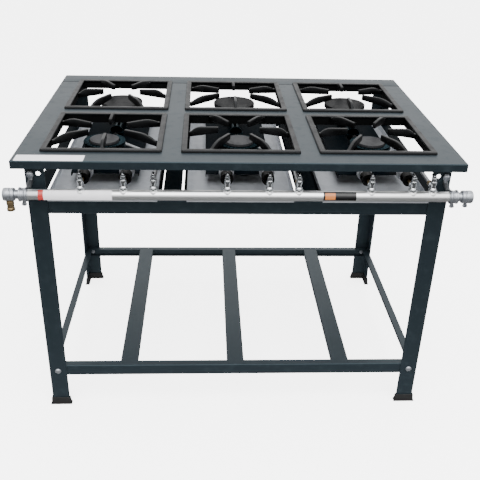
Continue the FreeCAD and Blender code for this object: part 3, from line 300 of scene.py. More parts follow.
burntCap = {
    "patch": {"low": 0.48, "high": 0.78, "scale": 34, "detail": 4, "roughness": 0.6},
    "grain": {"scale": 480, "roughness": 0.6}, "strength": 0.4, "distance": 0.0004,
    "worn": (0.005, 0.005, 0.006), "share": 0.5, "rough": 0.46, "wornRough": 0.18,
}
lightCap = {**burntCap, "colour": (0.015, 0.0155, 0.0175), "shine": 0.22, "metal": 0.1}
darkCap = {**burntCap, "colour": (0.0016, 0.0018, 0.0023), "shine": 0.10}
chrome = {
    "patch": {"low": 0.40, "high": 0.75, "scale": 90},
    "grain": {"scale": 900, "detail": 2}, "strength": 0.10, "distance": 0.0002,
    "colour": (0.62, 0.64, 0.66), "worn": (0.40, 0.42, 0.44), "metal": 1.0,
    "share": 1, "rough": 0.20, "wornRough": 0.14,
}
sandCast = {
    "patch": {"low": 0.40, "high": 0.72, "scale": 60, "detail": 4},
    "grain": {"scale": 420, "detail": 4, "roughness": 0.6}, "strength": 0.25, "distance": 0.0003,
    "share": 1, "wornRough": 0.18, "metal": 0.85,
}
castZinc = {**sandCast, "colour": (0.38, 0.40, 0.43), "worn": (0.22, 0.235, 0.26), "rough": 0.28}
collarSteel = {**sandCast, "colour": (0.46, 0.47, 0.49), "worn": (0.30, 0.31, 0.33), "rough": 0.42}
# Cast zinc of the bracket straps, darkened as painted shade
shadedStrapMetal = {**sandCast, "colour": (0.14, 0.147, 0.155), "worn": (0.07, 0.074, 0.08), "rough": 0.42}
brass = {
    "patch": {"low": 0.35, "high": 0.70, "scale": 120, "detail": 4},
    "grain": {"scale": 700}, "strength": 0.25, "distance": 0.0003,
    "colour": (0.44, 0.30, 0.13), "worn": (0.20, 0.155, 0.095), "metal": 0.9,
    "rough": 0.36, "wornRough": 0.16,
}
inletBrass = {**brass, "base": 0.75, "share": 0.125}
jetBrass = {**brass, "base": 0.8, "share": 0.1}
shutterBlack = {
    "patch": {"low": 0.45, "high": 0.75, "scale": 80},
    "grain": {"scale": 800, "detail": 2}, "strength": 0.3, "distance": 0.0003,
    "colour": (0.0004, 0.0004, 0.0005), "worn": (0.0012, 0.0012, 0.0014), "shine": 0.12,
    "share": 0.6, "rough": 0.40, "wornRough": 0.15,
}
rubber = {
    "patch": {"low": 0.50, "high": 0.80, "scale": 60, "detail": 4},
    "grain": {"scale": 900, "detail": 2}, "strength": 0.4, "distance": 0.0003,
    "colour": (0.0016, 0.0018, 0.0021), "worn": (0.006, 0.006, 0.0063),
    "share": 0.5, "rough": 0.62, "wornRough": 0.15,
}
paper = {
    "patch": {"low": 0.45, "high": 0.80, "scale": 45, "detail": 4},
    "grain": {"scale": 1500, "detail": 2}, "strength": 0.10, "distance": 0.0001,
    "share": 0.5, "rough": 0.34, "wornRough": 0.12,
}
paperShades = {
    "white": {"colour": (0.80, 0.79, 0.82), "worn": (0.66, 0.65, 0.68)},
    "red": {"colour": (0.42, 0.030, 0.025)},
    "dark": {"colour": (0.0020, 0.0020, 0.0024)},
    "orange": {"colour": (0.46, 0.15, 0.035)},
}


# Mesh helpers: each gives its own bmesh, in millimetres
weld = 0.001               # points closer than this are merged
nodeWeld = 0.005           # the same for a copy of a CAD node
sameFace = 1               # faces of such a copy within so many degrees become one
softAngle = {"flat": 30, "turned": 40, "cast": 50}     # edges sharper than this are rounded, in degrees


def aimed(bm, start, along):
    # Turns a shape made along z to another direction, and moves it to its start
    aim = up.rotation_difference(Vector(along)).to_matrix().to_4x4()
    bmesh.ops.transform(bm, matrix=Matrix.Translation(start) @ aim, verts=bm.verts)
    return bm


def turned(profile, start=(0, 0, 0), along=up, steps=40):
    # Solid turned about a line: profile holds (radius, distance along the line)
    bm = bmesh.new()
    verts = [bm.verts.new((radius, 0, reach)) for radius, reach in profile]
    edges = [bm.edges.new(pair) for pair in zip(verts, verts[1:])]
    bmesh.ops.spin(bm, geom=verts + edges, cent=(0, 0, 0), axis=up, angle=2 * math.pi, steps=steps,
                   use_merge=True)
    bmesh.ops.remove_doubles(bm, verts=bm.verts, dist=weld)
    bmesh.ops.recalc_face_normals(bm, faces=bm.faces)
    return aimed(bm, start, along)


def roundEdges(bm, edges, width, segments, clamp=False):
    bmesh.ops.bevel(bm, geom=edges, offset=width, segments=segments, profile=0.5, affect="EDGES",
                    material=-1, clamp_overlap=clamp)
    return bm


def softened(bm, width, segments=2, angle=softAngle["flat"]):
    limit = math.radians(angle)
    sharp = [edge for edge in bm.edges if len(edge.link_faces) == 2 and edge.calc_face_angle() > limit]
    return roundEdges(bm, sharp, width, segments, clamp=True)


def smoothTurned(profile, start, along, width, steps, angle=softAngle["turned"]):
    return softened(turned(profile, start, along, steps), width, angle=angle)


def raiseFaces(bm, faces, height, keepBase):
    made = bmesh.ops.extrude_face_region(bm, geom=faces, use_keep_orig=keepBase)["geom"]
    verts = [part for part in made if isinstance(part, bmesh.types.BMVert)]
    bmesh.ops.translate(bm, vec=(0, 0, height), verts=verts)
    bmesh.ops.recalc_face_normals(bm, faces=bm.faces)
    return bm


def uprightEdges(bm):
    return [edge for edge in bm.edges if abs(edge.verts[0].co.z - edge.verts[1].co.z) > near]


def prism(outline, thick, matrix):
    # Flat (a, b) outline with a thickness along its normal, centred on it
    bm = bmesh.new()
    face = bm.faces.new([bm.verts.new((a, b, -thick / 2)) for a, b in outline])
    raiseFaces(bm, [face], thick, keepBase=True)
    bmesh.ops.transform(bm, matrix=matrix, verts=bm.verts)
    return bm


def hexBar(acrossFlats, length, start, along, chamfer=0.8):
    radius = acrossFlats / 2 / math.cos(math.pi / 6)
    bm = bmesh.new()
    bmesh.ops.create_cone(bm, cap_ends=True, segments=6, radius1=radius, radius2=radius, depth=length,
                          matrix=Matrix.Translation((0, 0, length / 2)))
    return aimed(softened(bm, chamfer), start, along)


def bentTube(radius, start, steps, segments):
    # Level tube, straight back at first: a step is a length, or (bend radius, degrees to the left)
    bm = bmesh.new()
    place = Vector(start)
    heading = back.copy()
    facing = Matrix.Translation(place) @ Matrix.Rotation(math.pi / 2, 4, "X")
    bmesh.ops.create_circle(bm, cap_ends=False, radius=radius, segments=segments, matrix=facing)
    ring = list(bm.verts) + list(bm.edges)
    for step in steps:
        if isinstance(step, tuple):
            bend, turn = step
            left = up.cross(heading) * math.copysign(bend, turn)
            pivot = place + left
            made = bmesh.ops.spin(bm, geom=ring, cent=pivot, axis=up, angle=math.radians(turn), steps=10)
            swing = Matrix.Rotation(math.radians(turn), 3, "Z")
            place = pivot - swing @ left
            heading = swing @ heading
        else:
            made = bmesh.ops.spin(bm, geom=ring, cent=place, axis=up, angle=0, dvec=heading * step, steps=1)
            place = place + heading * step
        ring = made["geom_last"]
    bmesh.ops.holes_fill(bm, edges=bm.edges, sides=0)
    bmesh.ops.recalc_face_normals(bm, faces=bm.faces)
    return bm


def gathered(parts):
    whole = bmesh.new()
    for part in parts:
        sheet = bpy.data.meshes.new("part")
        part.to_mesh(sheet)
        part.free()
        whole.from_mesh(sheet)
        bpy.data.meshes.remove(sheet)
    return whole


def nodeCopy(node):
    # A CAD node's own shape, with its flat faces whole
    bm = bmesh.new()
    bm.from_mesh(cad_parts[node].data)
    bmesh.ops.transform(bm, matrix=toMm, verts=bm.verts)
    bmesh.ops.remove_doubles(bm, verts=bm.verts, dist=nodeWeld)
    bmesh.ops.dissolve_limit(bm, angle_limit=math.radians(sameFace), verts=bm.verts, edges=bm.edges)
    return bm


def linked(name, data):
    thing = bpy.data.objects.new(name, data)
    bpy.context.scene.collection.objects.link(thing)
    return thing


def meshOf(name, bm, finish):
    mesh = bpy.data.meshes.new(name)
    bm.to_mesh(mesh)
    bm.free()
    mesh.materials.append(finish)
    return mesh


def addPiece(name, bm, finish, body=fixedBody, replaced=(), crease=35):
    bmesh.ops.transform(bm, matrix=toFrame, verts=bm.verts)
    mesh = meshOf(name, bm, finish)
    mesh.shade_smooth()
    mesh.set_sharp_from_angle(angle=math.radians(crease))
    piece = linked(name, mesh)
    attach(piece, body)
    if replaced:
        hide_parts(*replaced)


# Rear bar of the top
rearBar = {"round": 3, "segments": 3}


def addRearBar(finish):
    # The bar's front edge is rounded, so that a seam shows where it meets the other bars
    node = "top_rear_bar"
    bm = nodeCopy(node)
    low, high = boxOf(node)

    def onSeam(vert):
        return abs(vert.co.y - low.y) < near and abs(vert.co.z - high.z) < near

    seam = [edge for edge in bm.edges if all(onSeam(vert) for vert in edge.verts)]
    roundEdges(bm, seam, rearBar["round"], rearBar["segments"])
    addPiece("seamed_rear_bar", bm, finish, replaced=[node])


# Grates
grate = {
    "rim": 20,             # width of the square rim
    "rimHeight": 6,
    "corner": 6,           # outer corner radius
    "edge": 1.5,           # rounding of the cast edges
    "spread": 1.5,         # how far the top of the cast rim stands out
    "draft": 1.5,          # how much further its foot does
    "fingers": 6,
    "thick": 8.5,          # of a finger
    "rimBite": 4,          # how far a finger runs into the rim, and how high it meets it
    "tip": 56,             # distance of a finger's tip from the middle
    "flat": 102,           # where its top starts to fall
    "tipHeight": 16,
    "rootEnd": 137,        # how far its foot reaches under the rim
    "rootDrop": 11,        # below the rim's underside
    "steps": 12,
    "toFront": ("front_left", "rear_middle", "rear_right"),   # grates with a finger straight to the front
}


def fallingArc(start, end, steps):
    # Points on an arc that leaves start level and bends down to end
    x, top = start
    run = end[0] - x
    drop = top - end[1]
    radius = (run ** 2 + drop ** 2) / (2 * drop)
    whole = math.asin(run / radius)
    turns = [whole * step / steps for step in range(steps + 1)]
    return [(x + radius * math.sin(turn), top - radius * (1 - math.cos(turn))) for turn in turns]


def grateRim(half, low, high):
    bm = bmesh.new()
    bmesh.ops.create_grid(bm, x_segments=1, y_segments=1, size=half)
    inner = bm.faces[:]
    bmesh.ops.inset_region(bm, faces=inner, thickness=grate["rim"], use_boundary=True)
    bmesh.ops.delete(bm, geom=inner, context="FACES")
    raiseFaces(bm, bm.faces[:], high - low, keepBase=True)
    bmesh.ops.translate(bm, vec=(0, 0, low), verts=bm.verts)
    corners = [edge for edge in uprightEdges(bm) if abs(edge.verts[0].co.x) > half - near]
    roundEdges(bm, corners, grate["corner"], segments=4)
    outer = half - grate["rim"] / 2
    foot = [vert for vert in bm.verts
            if vert.co.z < low + near and max(abs(vert.co.x), abs(vert.co.y)) > outer]
    wider = 1 + grate["draft"] / half
    bmesh.ops.scale(bm, vec=(wider, wider, 1), verts=foot)
    return softened(bm, grate["edge"], segments=3, angle=softAngle["cast"])


def grateFinger(turn, half, seat, top):
    slant = max(abs(math.cos(turn)), abs(math.sin(turn)))
    rimEdge = (half - grate["rim"]) / slant
    rootEnd = grate["rootEnd"] / slant
    bite = grate["rimBite"]
    upper = fallingArc((grate["flat"], top), (rimEdge, seat + bite), grate["steps"])
    root = [(rimEdge + bite, seat + bite), (rootEnd, seat), (rootEnd, seat - grate["rootDrop"])]
    outline = [*upper, *root, (grate["tip"], top - grate["tipHeight"]), (grate["tip"], top)]
    upright = Matrix.Rotation(math.pi / 2, 4, "X")
    blade = prism(outline, grate["thick"], Matrix.Rotation(turn, 4, "Z") @ upright)
    return softened(blade, grate["edge"], angle=softAngle["cast"])


def addGrate(spot, finish):
    node = "grate_" + spot
    low, high = boxOf(node)
    half = (high.x - low.x) / 2
    seat = boxOf("top_front_bar")[1].z
    first = math.pi / 2 if spot in grate["toFront"] else 0
    turns = [first + 2 * math.pi * step / grate["fingers"] for step in range(grate["fingers"])]
    parts = [grateRim(half + grate["spread"], seat, seat + grate["rimHeight"])]
    parts += [grateFinger(turn, half, seat, high.z) for turn in turns]
    bm = gathered(parts)
    middle = (low + high) / 2
    bmesh.ops.translate(bm, vec=(middle.x, middle.y, 0), verts=bm.verts)
    addPiece("cast_" + node, bm, finish, node, [node])


# Burners. An outline holds (radius, distance) points of a turned shape
burner = {
    "tube": 12, "crownClear": 9,       # radius of the mixing tubes, height of the crown over them
    "slot": 2,             # depth of the flame slots
    "land": 8,             # width of the slotted edge of a crown or bowl
    "gap": 5,              # a slot is one step in so many
    "teeth": 30,
    "edge": 0.8,           # rounding of the tubes' edges
}
outletZ = centreOf(shutterNode("left", "crown")).z
plateTop = boxOf("burner_plates")[1].z
crownBottom = outletZ + burner["tube"] + burner["crownClear"]


def slottedCasting(outline, level, place):
    # Turned casting with teeth on the flat land at the given level, and flame slots between them
    bm = turned(outline, steps=burner["gap"] * burner["teeth"])
    inner = max(radius for radius, reach in outline) - burner["land"]

    def isTooth(face):
        middle = face.calc_center_median()
        onLand = abs(middle.z - level) < near and math.hypot(middle.x, middle.y) > inner
        sector = (math.atan2(middle.y, middle.x) / (2 * math.pi) * burner["teeth"]) % 1
        return onLand and sector > 1 / burner["gap"]

    raiseFaces(bm, [face for face in bm.faces if isTooth(face)], burner["slot"], keepBase=False)
    bmesh.ops.translate(bm, vec=place, verts=bm.verts)
    return bm


# From the rim down. The first point is at the top of the stem
bowls = {
    "front": ((14, -17), (16, -16), (34, -10), (38, -6), (38, -2), (34, -2), (34, -6), (14, -12), (0, -12)),
    "rear": ((18, -21), (20, -20), (56, -10), (60, -6), (60, -2), (56, -2), (56, -6), (18, -16), (0, -16)),
}


def burnerBowl(row, column):
    # Under a cap, on a stem from the plate
    cap = "cap_" + row + "_" + column
    middle = centreOf(cap)
    rim = boxOf(cap)[0].z
    foot = plateTop - rim
    stem = [(0, foot), (bowls[row][0][0], foot)]
    return slottedCasting([*stem, *bowls[row]], -burner["slot"], (middle.x, middle.y, rim))


# From the front edge of the top, the tip from the tube's far end
mixTube = {
    "mouth": ((0, 102), (10, 102), (10, 50), (13, 50), (13, 101), (17, 102), (12, 116)),
    "tip": ((12, -6), (10, -2), (6, 0), (0, 0)),
    "stop": ((12.5, 95), (20, 95), (20, 102), (12.5, 102), (12.5, 95)),
    "bell": ((0, 424), (10, 424), (16, 400), (20, 400), (20, 403), (15, 412), (12, 424)),
    "bendStart": 102, "overlap": 20, "bend": 60, "turn": 45,       # of the inner tube
}


def castTube(outline, x, steps=32):
    return smoothTurned(outline, (x, 0, outletZ), back, burner["edge"], steps, softAngle["cast"])


def tubeMouth(x, end):
    # Mixing tube from its open mouth straight back to end
    tip = [(radius, end + reach) for radius, reach in mixTube["tip"]]
    return castTube([*mixTube["mouth"], *tip], x)


def addStopCollars(finish):
    # Machined rings that the air shutters close against
    parts = [castTube(mixTube["stop"], centreOf(node).x, steps=40) for node in shutterNodes]
    addPiece("stop_collars", gathered(parts), finish)


# Heights from the bottom of the crown
crown = {
    "outline": ((42, 0), (52, 0), (54.8, 1.2), (56, 4), (56, 18), (48, 18), (48, 20), (42, 20), (42, 0)),
    "land": 18,
    "ring": 47,            # radius of the circle that its posts stand on
}
post = {"peg": 5, "riser": 8, "foot": 2, "footHeight": 4, "sink": 1}


def standingPost(x, y, radius):
    # From the plate up into the crown
    top = crownBottom + post["sink"]
    outline = [
        (0, plateTop), (radius + post["foot"], plateTop), (radius, plateTop + post["footHeight"]),
        (radius, top), (0, top),
    ]
    return turned(outline, (x, y, 0), up, steps=20)


def addCrowns(finish):
    parts = []
    ring = crown["ring"]
    for column in columns:
        middle = centreOf("cap_front_" + column)
        tubeX = centreOf(shutterNode(column, "crown")).x
        riser = middle.y - math.sqrt(ring ** 2 - (tubeX - middle.x) ** 2)
        parts.append(slottedCasting(crown["outline"], crown["land"], (middle.x, middle.y, crownBottom)))
        parts.append(tubeMouth(tubeX, riser + post["peg"]))
        parts.append(standingPost(tubeX, riser, post["riser"]))
        for turn in (0, math.pi / 2, math.pi):
            x = middle.x + ring * math.cos(turn)
            y = middle.y + ring * math.sin(turn)
            parts.append(standingPost(x, y, post["peg"]))
    addPiece("cast_crowns", gathered(parts), finish, replaced=["crown_burners"])


def addInnerBurners(finish):
    parts = []
    bend = mixTube["bend"]
    turn = math.radians(mixTube["turn"])
    start = mixTube["bendStart"]
    for column in columns:
        middle = centreOf("cap_front_" + column)
        tubeX = centreOf(shutterNode(column, "inner")).x
        lastRun = (tubeX - middle.x - bend * (1 - math.cos(turn))) / math.sin(turn)
        bendY = middle.y - lastRun * math.cos(turn) - bend * math.sin(turn)
        parts.append(tubeMouth(tubeX, start + mixTube["overlap"]))
        steps = [bendY - start, (bend, mixTube["turn"]), lastRun]
        parts.append(bentTube(burner["tube"], (tubeX, start, outletZ), steps, segments=28))
        parts.append(burnerBowl("front", column))
    addPiece("cast_inner_burners", gathered(parts), finish, replaced=["inner_burners"])


# U-shaped yoke in front of the bell that carries the injector
yoke = {
    "outline": ((-20, 402), (-20, 384), (20, 384), (20, 402), (16, 402), (16, 388), (-16, 388), (-16, 402)),
    "front": 384, "height": 10, "edge": 1.0,
}


def addRearBurners(finish):
    parts = []
    for column in columns:
        middle = centreOf("cap_rear_" + column)
        tube = [*mixTube["bell"], (burner["tube"], middle.y), (0, middle.y)]
        parts += [burnerBowl("rear", column), castTube(tube, middle.x)]
        holder = prism(yoke["outline"], yoke["height"], Matrix.Translation((middle.x, 0, outletZ)))
        parts.append(softened(holder, yoke["edge"], angle=softAngle["cast"]))
    addPiece("cast_rear_burners", gathered(parts), finish, replaced=["rear_burners"])


capShape = {
    "slope": 2.5, "rise": 0.8, "cut": 0.75, "nick": 0.2,
    "shoulder": 0.75, "shoulderDrop": 0.35,    # shares of the radius and the rise
    "flat": 0.4,
}


def addCap(spot, finish):
    node = "cap_" + spot
    low, high = boxOf(node)
    middle = (low + high) / 2
    top = high.z
    radius = (high.y - low.y) / 2
    slope = capShape["slope"]
    cut = capShape["cut"]
    outline = [
        (0, low.z), (radius, low.z), (radius, top - slope), (radius - cut, top - cut - capShape["nick"]),
        (radius - slope, top - capShape["rise"]),
        (capShape["shoulder"] * radius, top - capShape["shoulderDrop"] * capShape["rise"]),
        (capShape["flat"] * radius, top), (0, top),
    ]
    bm = turned(outline, (middle.x, middle.y, 0), up, steps=64)
    addPiece("cast_" + node, bm, finish, node, [node])


# Manifold, its ends and brackets
manifold = {
    "y": 4, "z": 705, "radius": 13.45, "edge": 0.5,
    "pipe": ((10.8, -551), (13.45, -551), (13.45, 551), (10.8, 551), (10.8, -551)),
    "boss": ((0, 6), (12, 6), (11.5, 11), (10, 13), (10, 15.35), (9.4, 15.95), (0, 15.95)),
    "bossTop": 15.95,
}
socketTop = manifold["z"] + manifold["bossTop"]
valveNodes = [node for node in sorted(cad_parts) if node.startswith("valve_handle_")]


def onPipe(x):
    return (x, manifold["y"], manifold["z"])


def addManifold(finish):
    parts = [softened(turned(manifold["pipe"], onPipe(0), right, steps=64), manifold["edge"])]
    parts += [turned(manifold["boss"], onPipe(centreOf(node).x), up, steps=32) for node in valveNodes]
    addPiece("pipe_smooth", gathered(parts), finish, replaced=["gas_manifold"])


collar = {
    "outline": (
        (13.5, -10), (18, -10), (18, -6), (16.4, -4), (16.4, 4), (18, 6), (18, 10), (13.5, 10), (13.5, -10),
    ),
    "x": 541, "radius": 18, "edge": 0.7,
}
strap = {
    "x": 529, "width": 12, "edge": 1.2,
    "reach": 17, "angles": (38, 62),       # where it leaves the collar, in degrees above its back
    "pad": ((41, 729), (41, 752), (46, 752), (46, 724)),       # (y, z) on the leg
    "boltY": 41, "boltZ": 742, "grip": 8,
}


def bracketStrap(side):
    y = manifold["y"]
    z = manifold["z"]
    reach = strap["reach"]
    turns = [math.radians(angle) for angle in strap["angles"]]
    outline = [(y + reach * math.cos(turn), z + reach * math.sin(turn)) for turn in turns]
    # Puts the two directions of the outline on y and z
    standing = Matrix(((0, 0, 1, side * strap["x"]), (1, 0, 0, 0), (0, 1, 0, 0), (0, 0, 0, 1)))
    return softened(prism([*outline, *strap["pad"]], strap["width"], standing), strap["edge"])


def addBrackets(finish, strapFinish):
    parts = []
    for side in sides:
        ring = turned(collar["outline"], onPipe(side * collar["x"]), right, steps=48)
        parts.append(softened(ring, collar["edge"]))
    addPiece("bracket_straps", gathered([bracketStrap(side) for side in sides]), strapFinish)
    addPiece("collar_brackets", gathered(parts), finish, replaced=["manifold_brackets"])


# From the middle of the pipe out: plug, neck, and head with a groove
pipeEnd = {
    "outline": (
        (0, 539), (10.7, 539), (10.7, 551), (11.5, 551), (11.5, 561), (13, 561), (15.45, 562.05),
        (16.5, 564.5), (16.5, 570), (15.3, 571), (15.3, 573), (16.5, 574), (16.5, 586.5), (15.45, 588.95),
        (13, 590), (0, 590),
    ),
    "edge": 0.5, "head": 16.5, "headMiddle": 575.5,
}


def addPipeEnds(finish):
    outline = pipeEnd["outline"]
    parts = [smoothTurned(outline, onPipe(0), side * right, pipeEnd["edge"], steps=48) for side in sides]
    addPiece("pipe_end_heads", gathered(parts), finish, replaced=["manifold_end_caps"])


# From the open end up
inlet = {
    "outline": (
        (0, 18), (7.5, 18), (7.5, 1), (8.3, 0), (10, 0), (10, 7), (8.8, 8.5), (8.8, 16), (9.6, 18),
        (9.6, 27),
    ),
    "shoulder": 27, "stem": 5.9, "edge": 0.5,
}


def addInlet(finish):
    low, high = boxOf("gas_inlet_fitting")
    middle = (low + high) / 2
    height = high.z - low.z
    stem = [(inlet["stem"], inlet["shoulder"]), (inlet["stem"], height), (0, height)]
    start = (middle.x, middle.y, low.z)
    bm = smoothTurned([*inlet["outline"], *stem], start, up, inlet["edge"], steps=36)
    addPiece("inlet_nipple", bm, finish, replaced=["gas_inlet_fitting"])


# Valves, handles, injectors and gas lines. The barrel goes up from the socket, the horn back from the axis
valve = {
    "hex": 20, "hexHeight": 5, "edge": 0.4, "hornEnd": 24,
    "barrel": (
        (0, -3.5), (5.8, -3.5), (5.8, 4), (9, 4), (8.6, 6.5), (6.6, 9), (6.6, 16), (8, 18.5), (8, 25.8),
        (6.8, 27), (0, 27),
    ),
    "horn": ((0, 0), (5.5, 0), (5.5, 14), (7, 15), (7, 20), (0, 20)),
}


def addValves(finish):
    parts = []
    for node in valveNodes:
        x = centreOf(node).x
        socket = (x, manifold["y"], socketTop)
        outlet = (x, manifold["y"], outletZ)
        parts.append(hexBar(valve["hex"], valve["hexHeight"], socket, up))
        parts.append(smoothTurned(valve["barrel"], socket, up, valve["edge"], steps=32))
        parts.append(smoothTurned(valve["horn"], outlet, back, valve["edge"], steps=28))
    addPiece("valve_cocks", gathered(parts), finish, replaced=["valve_bodies"])


# Heights from the top of the lever. The lever's outline goes from an end to its middle
handle = {
    "lever": ((0, 17), (2.34, 16.6), (3.9, 14), (3.12, 10), (2.418, 7), (2.925, 6)),
    "leverDrop": 3, "flatness": 0.76,
    "stem": ((0, -24), (3.9, -24), (3.9, -13), (0, -13)),
    "dome": ((0, -7), (4.6, -7), (4.4, -2), (2.8, -0.3), (0, 0)),
    "hub": 12, "hubHeight": 8, "hubDrop": 14, "hubEdge": 0.7,
}


def leverBar(centre):
    half = handle["lever"]
    outline = [(radius, -reach) for radius, reach in half] + list(reversed(half))
    bar = turned(outline, centre, back, steps=24)
    bmesh.ops.scale(bar, vec=(1, 1, handle["flatness"]), verts=bar.verts, space=Matrix.Translation(-centre))
    return bar


def addHandle(node, finish):
    middle = centreOf(node)
    top = Vector((middle.x, middle.y, boxOf(node)[1].z))
    hubStart = top - handle["hubDrop"] * up
    parts = [
        leverBar(top - handle["leverDrop"] * up),
        hexBar(handle["hub"], handle["hubHeight"], hubStart, up, handle["hubEdge"]),
        turned(handle["stem"], top, up, steps=20),
        turned(handle["dome"], top, up, steps=24),
    ]
    addPiece("lever_" + node, gathered(parts), finish, node, [node])


jet = {
    "hex": 11, "hexLength": 8, "hexEdge": 0.6, "edge": 0.3,
    "nozzle": ((0, 7), (4, 7), (4, 22), (2.5, 26), (0.8, 26), (0.8, 23), (0, 23)),
}
rearJetFront = yoke["front"] - jet["hexLength"]


def injector(x, y):
    start = (x, y, outletZ)
    return [
        hexBar(jet["hex"], jet["hexLength"], start, back, jet["hexEdge"]),
        smoothTurned(jet["nozzle"], start, back, jet["edge"], steps=24),
    ]


def addInjectors(finish, rearFinish):
    parts = []
    rearParts = []
    for column in columns:
        for kind in tubeKinds:
            parts += injector(centreOf("valve_handle_" + column + "_" + kind).x, valve["hornEnd"])
        rearParts += injector(centreOf("cap_rear_" + column).x, rearJetFront)
    addPiece("rear_jets", gathered(rearParts), rearFinish)
    addPiece("brass_jets", gathered(parts), finish, replaced=["injectors"])


line = {"radius": 4.5, "bend": 45, "turn": 45, "lastRun": 20, "nut": 13, "nutLength": 14}


def gasLine(startX, endX):
    bend = line["bend"]
    turn = math.radians(line["turn"])
    slant = (startX - endX - 2 * bend * (1 - math.cos(turn))) / math.sin(turn)
    depth = 2 * bend * math.sin(turn) + slant * math.cos(turn)
    firstRun = rearJetFront - line["lastRun"] - depth - valve["hornEnd"]
    steps = [firstRun, (bend, line["turn"]), slant, (bend, -line["turn"]), line["lastRun"]]
    return bentTube(line["radius"], (startX, valve["hornEnd"], outletZ), steps, segments=20)


def lineNut(x, y):
    return hexBar(line["nut"], line["nutLength"], (x, y, outletZ), back)


def addGasLines(finish, nutFinish, rearFinish):
    lines = []
    nuts = []
    rearNuts = []
    for column in columns:
        startX = centreOf("valve_handle_" + column + "_rear").x
        endX = centreOf("cap_rear_" + column).x
        lines.append(gasLine(startX, endX))
        nuts.append(lineNut(startX, valve["hornEnd"]))
        rearNuts.append(lineNut(endX, rearJetFront - line["nutLength"]))
    addPiece("line_nuts", gathered(nuts), nutFinish)
    addPiece("rear_line_nuts", gathered(rearNuts), rearFinish)
    addPiece("bent_gas_lines", gathered(lines), finish, replaced=["rear_gas_lines"])


# Air shutters: a black sleeve from the front, and a bare end with a groove, given from the back
shutter = {
    "sleeve": ((8, 0.6), (9, 0), (14.4, 0), (16, 1.6), (16, 8), (16, 22), (16, 30)),
    "wall": 2.4, "edge": 0.4,
    "window": (8, 22), "windowHalf": 22,       # along the sleeve, and round it in degrees
    "endStart": ((13.6, 30), (16, 30)),
    "end": ((16, -9), (15, -8), (15, -6), (16, -5), (16, 0), (13.6, 0)),
}


def shutterSleeve():
    bm = turned(shutter["sleeve"], (0, 0, 0), back, steps=48)
    start, end = shutter["window"]

    def isWindow(face):
        spot = face.calc_center_median()
        turn = math.degrees(math.atan2(abs(spot.z), abs(spot.x)))
        return start < spot.y < end and turn < shutter["windowHalf"]

    bmesh.ops.delete(bm, geom=[face for face in bm.faces if isWindow(face)], context="FACES")
    bmesh.ops.recalc_face_normals(bm, faces=bm.faces)
    outward = sum(face.normal.dot(face.calc_center_median() * Vector((1, 0, 1))) for face in bm.faces)
    if outward < 0:
        bmesh.ops.reverse_faces(bm, faces=bm.faces)
    bmesh.ops.solidify(bm, geom=bm.faces[:], thickness=shutter["wall"])
    return bm


def shutterEnd(length):
    start = shutter["endStart"]
    end = [(radius, length + reach) for radius, reach in shutter["end"]]
    return smoothTurned([*start, *end, start[0]], (0, 0, 0), back, shutter["edge"], steps=40)


def addShutter(node, finish, endFinish):
    low, high = boxOf(node)
    middle = (low + high) / 2
    sleeve = shutterSleeve()
    bareEnd = shutterEnd(high.y - low.y)
    for bm in (sleeve, bareEnd):
        bmesh.ops.translate(bm, vec=(middle.x, low.y, middle.z), verts=bm.verts)
    addPiece("collar_" + node, bareEnd, endFinish, node)
    addPiece("sleeve_" + node, sleeve, finish, node, [node])


# Fasteners and shoes
bolt = {
    "head": (
        (0, -4), (2.8, -3.84), (5.2, -3.2), (7.04, -2), (8, -0.9), (8, -0.7), (9, -0.7), (9, 0), (0, 0),
    ),
    "radius": 4, "chamfer": 1, "nut": 13, "nutHeight": 6, "proud": 3,
}


def roundBolt(x, y, z, way, grip):
    # Dome head and washer against y, nut on the far side of the grip
    place = (x, y, z)
    end = grip + bolt["nutHeight"] + bolt["proud"]
    radius = bolt["radius"]
    chamfer = bolt["chamfer"]
    shank = [(0, 0), (radius, 0), (radius, end - chamfer), (radius - chamfer, end), (0, end)]
    return [
        turned(bolt["head"], place, way * back, steps=32),
        turned(shank, place, way * back, steps=16),
        hexBar(bolt["nut"], bolt["nutHeight"], (x, y + way * grip, z), way * back),
    ]


# Heights from the underside of what the screw goes into
wing = {
    "stem": ((0, -6), (5, -6), (5, -3), (4, -2), (4, 4), (0, 4)),
    "top": -4, "span": 13, "height": 9, "thick": 6, "steps": 20, "edge": 1.8,
}


def wingScrew(x, underside):
    half = wing["span"] / 2
    tall = wing["height"] / 2
    y = manifold["y"]
    turns = [2 * math.pi * step / wing["steps"] for step in range(wing["steps"])]
    outline = [(half * math.cos(turn), tall * (math.sin(turn) - 1)) for turn in turns]
    standing = Matrix.Translation((x, y, underside + wing["top"])) @ Matrix.Rotation(math.pi / 2, 4, "X")
    blade = softened(prism(outline, wing["thick"], standing), wing["edge"], segments=3)
    return [turned(wing["stem"], (x, y, underside), up, steps=16), blade]


# Faces are (y, direction of the bolt)
legs = {"faces": ((46, 1), (775, -1)), "boltX": 519, "boltZ": 120, "grip": 5}


def addFasteners(finish):
    parts = []
    for side in sides:
        for y, way in legs["faces"]:
            parts += roundBolt(side * legs["boltX"], y, legs["boltZ"], way, legs["grip"])
        parts += roundBolt(side * strap["x"], strap["boltY"], strap["boltZ"], 1, strap["grip"])
        parts += wingScrew(side * collar["x"], manifold["z"] - collar["radius"])
    parts += wingScrew(pipeEnd["headMiddle"], manifold["z"] - pipeEnd["head"])
    addPiece("bolts_and_wing_screws", gathered(parts), finish, replaced=["frame_fasteners"])


shoe = {"edge": 1.2, "segments": 3}


def addShoes(finish):
    bm = softened(nodeCopy("foot_shoes"), shoe["edge"], shoe["segments"])
    addPiece("rubber_shoes", bm, finish, replaced=["foot_shoes"])


# Bare stickers
sticker = {"topX": (-555, -388), "topY": (2, 40), "thick": 0.25, "corner": 2.5, "clear": 0.05, "steps": 16}
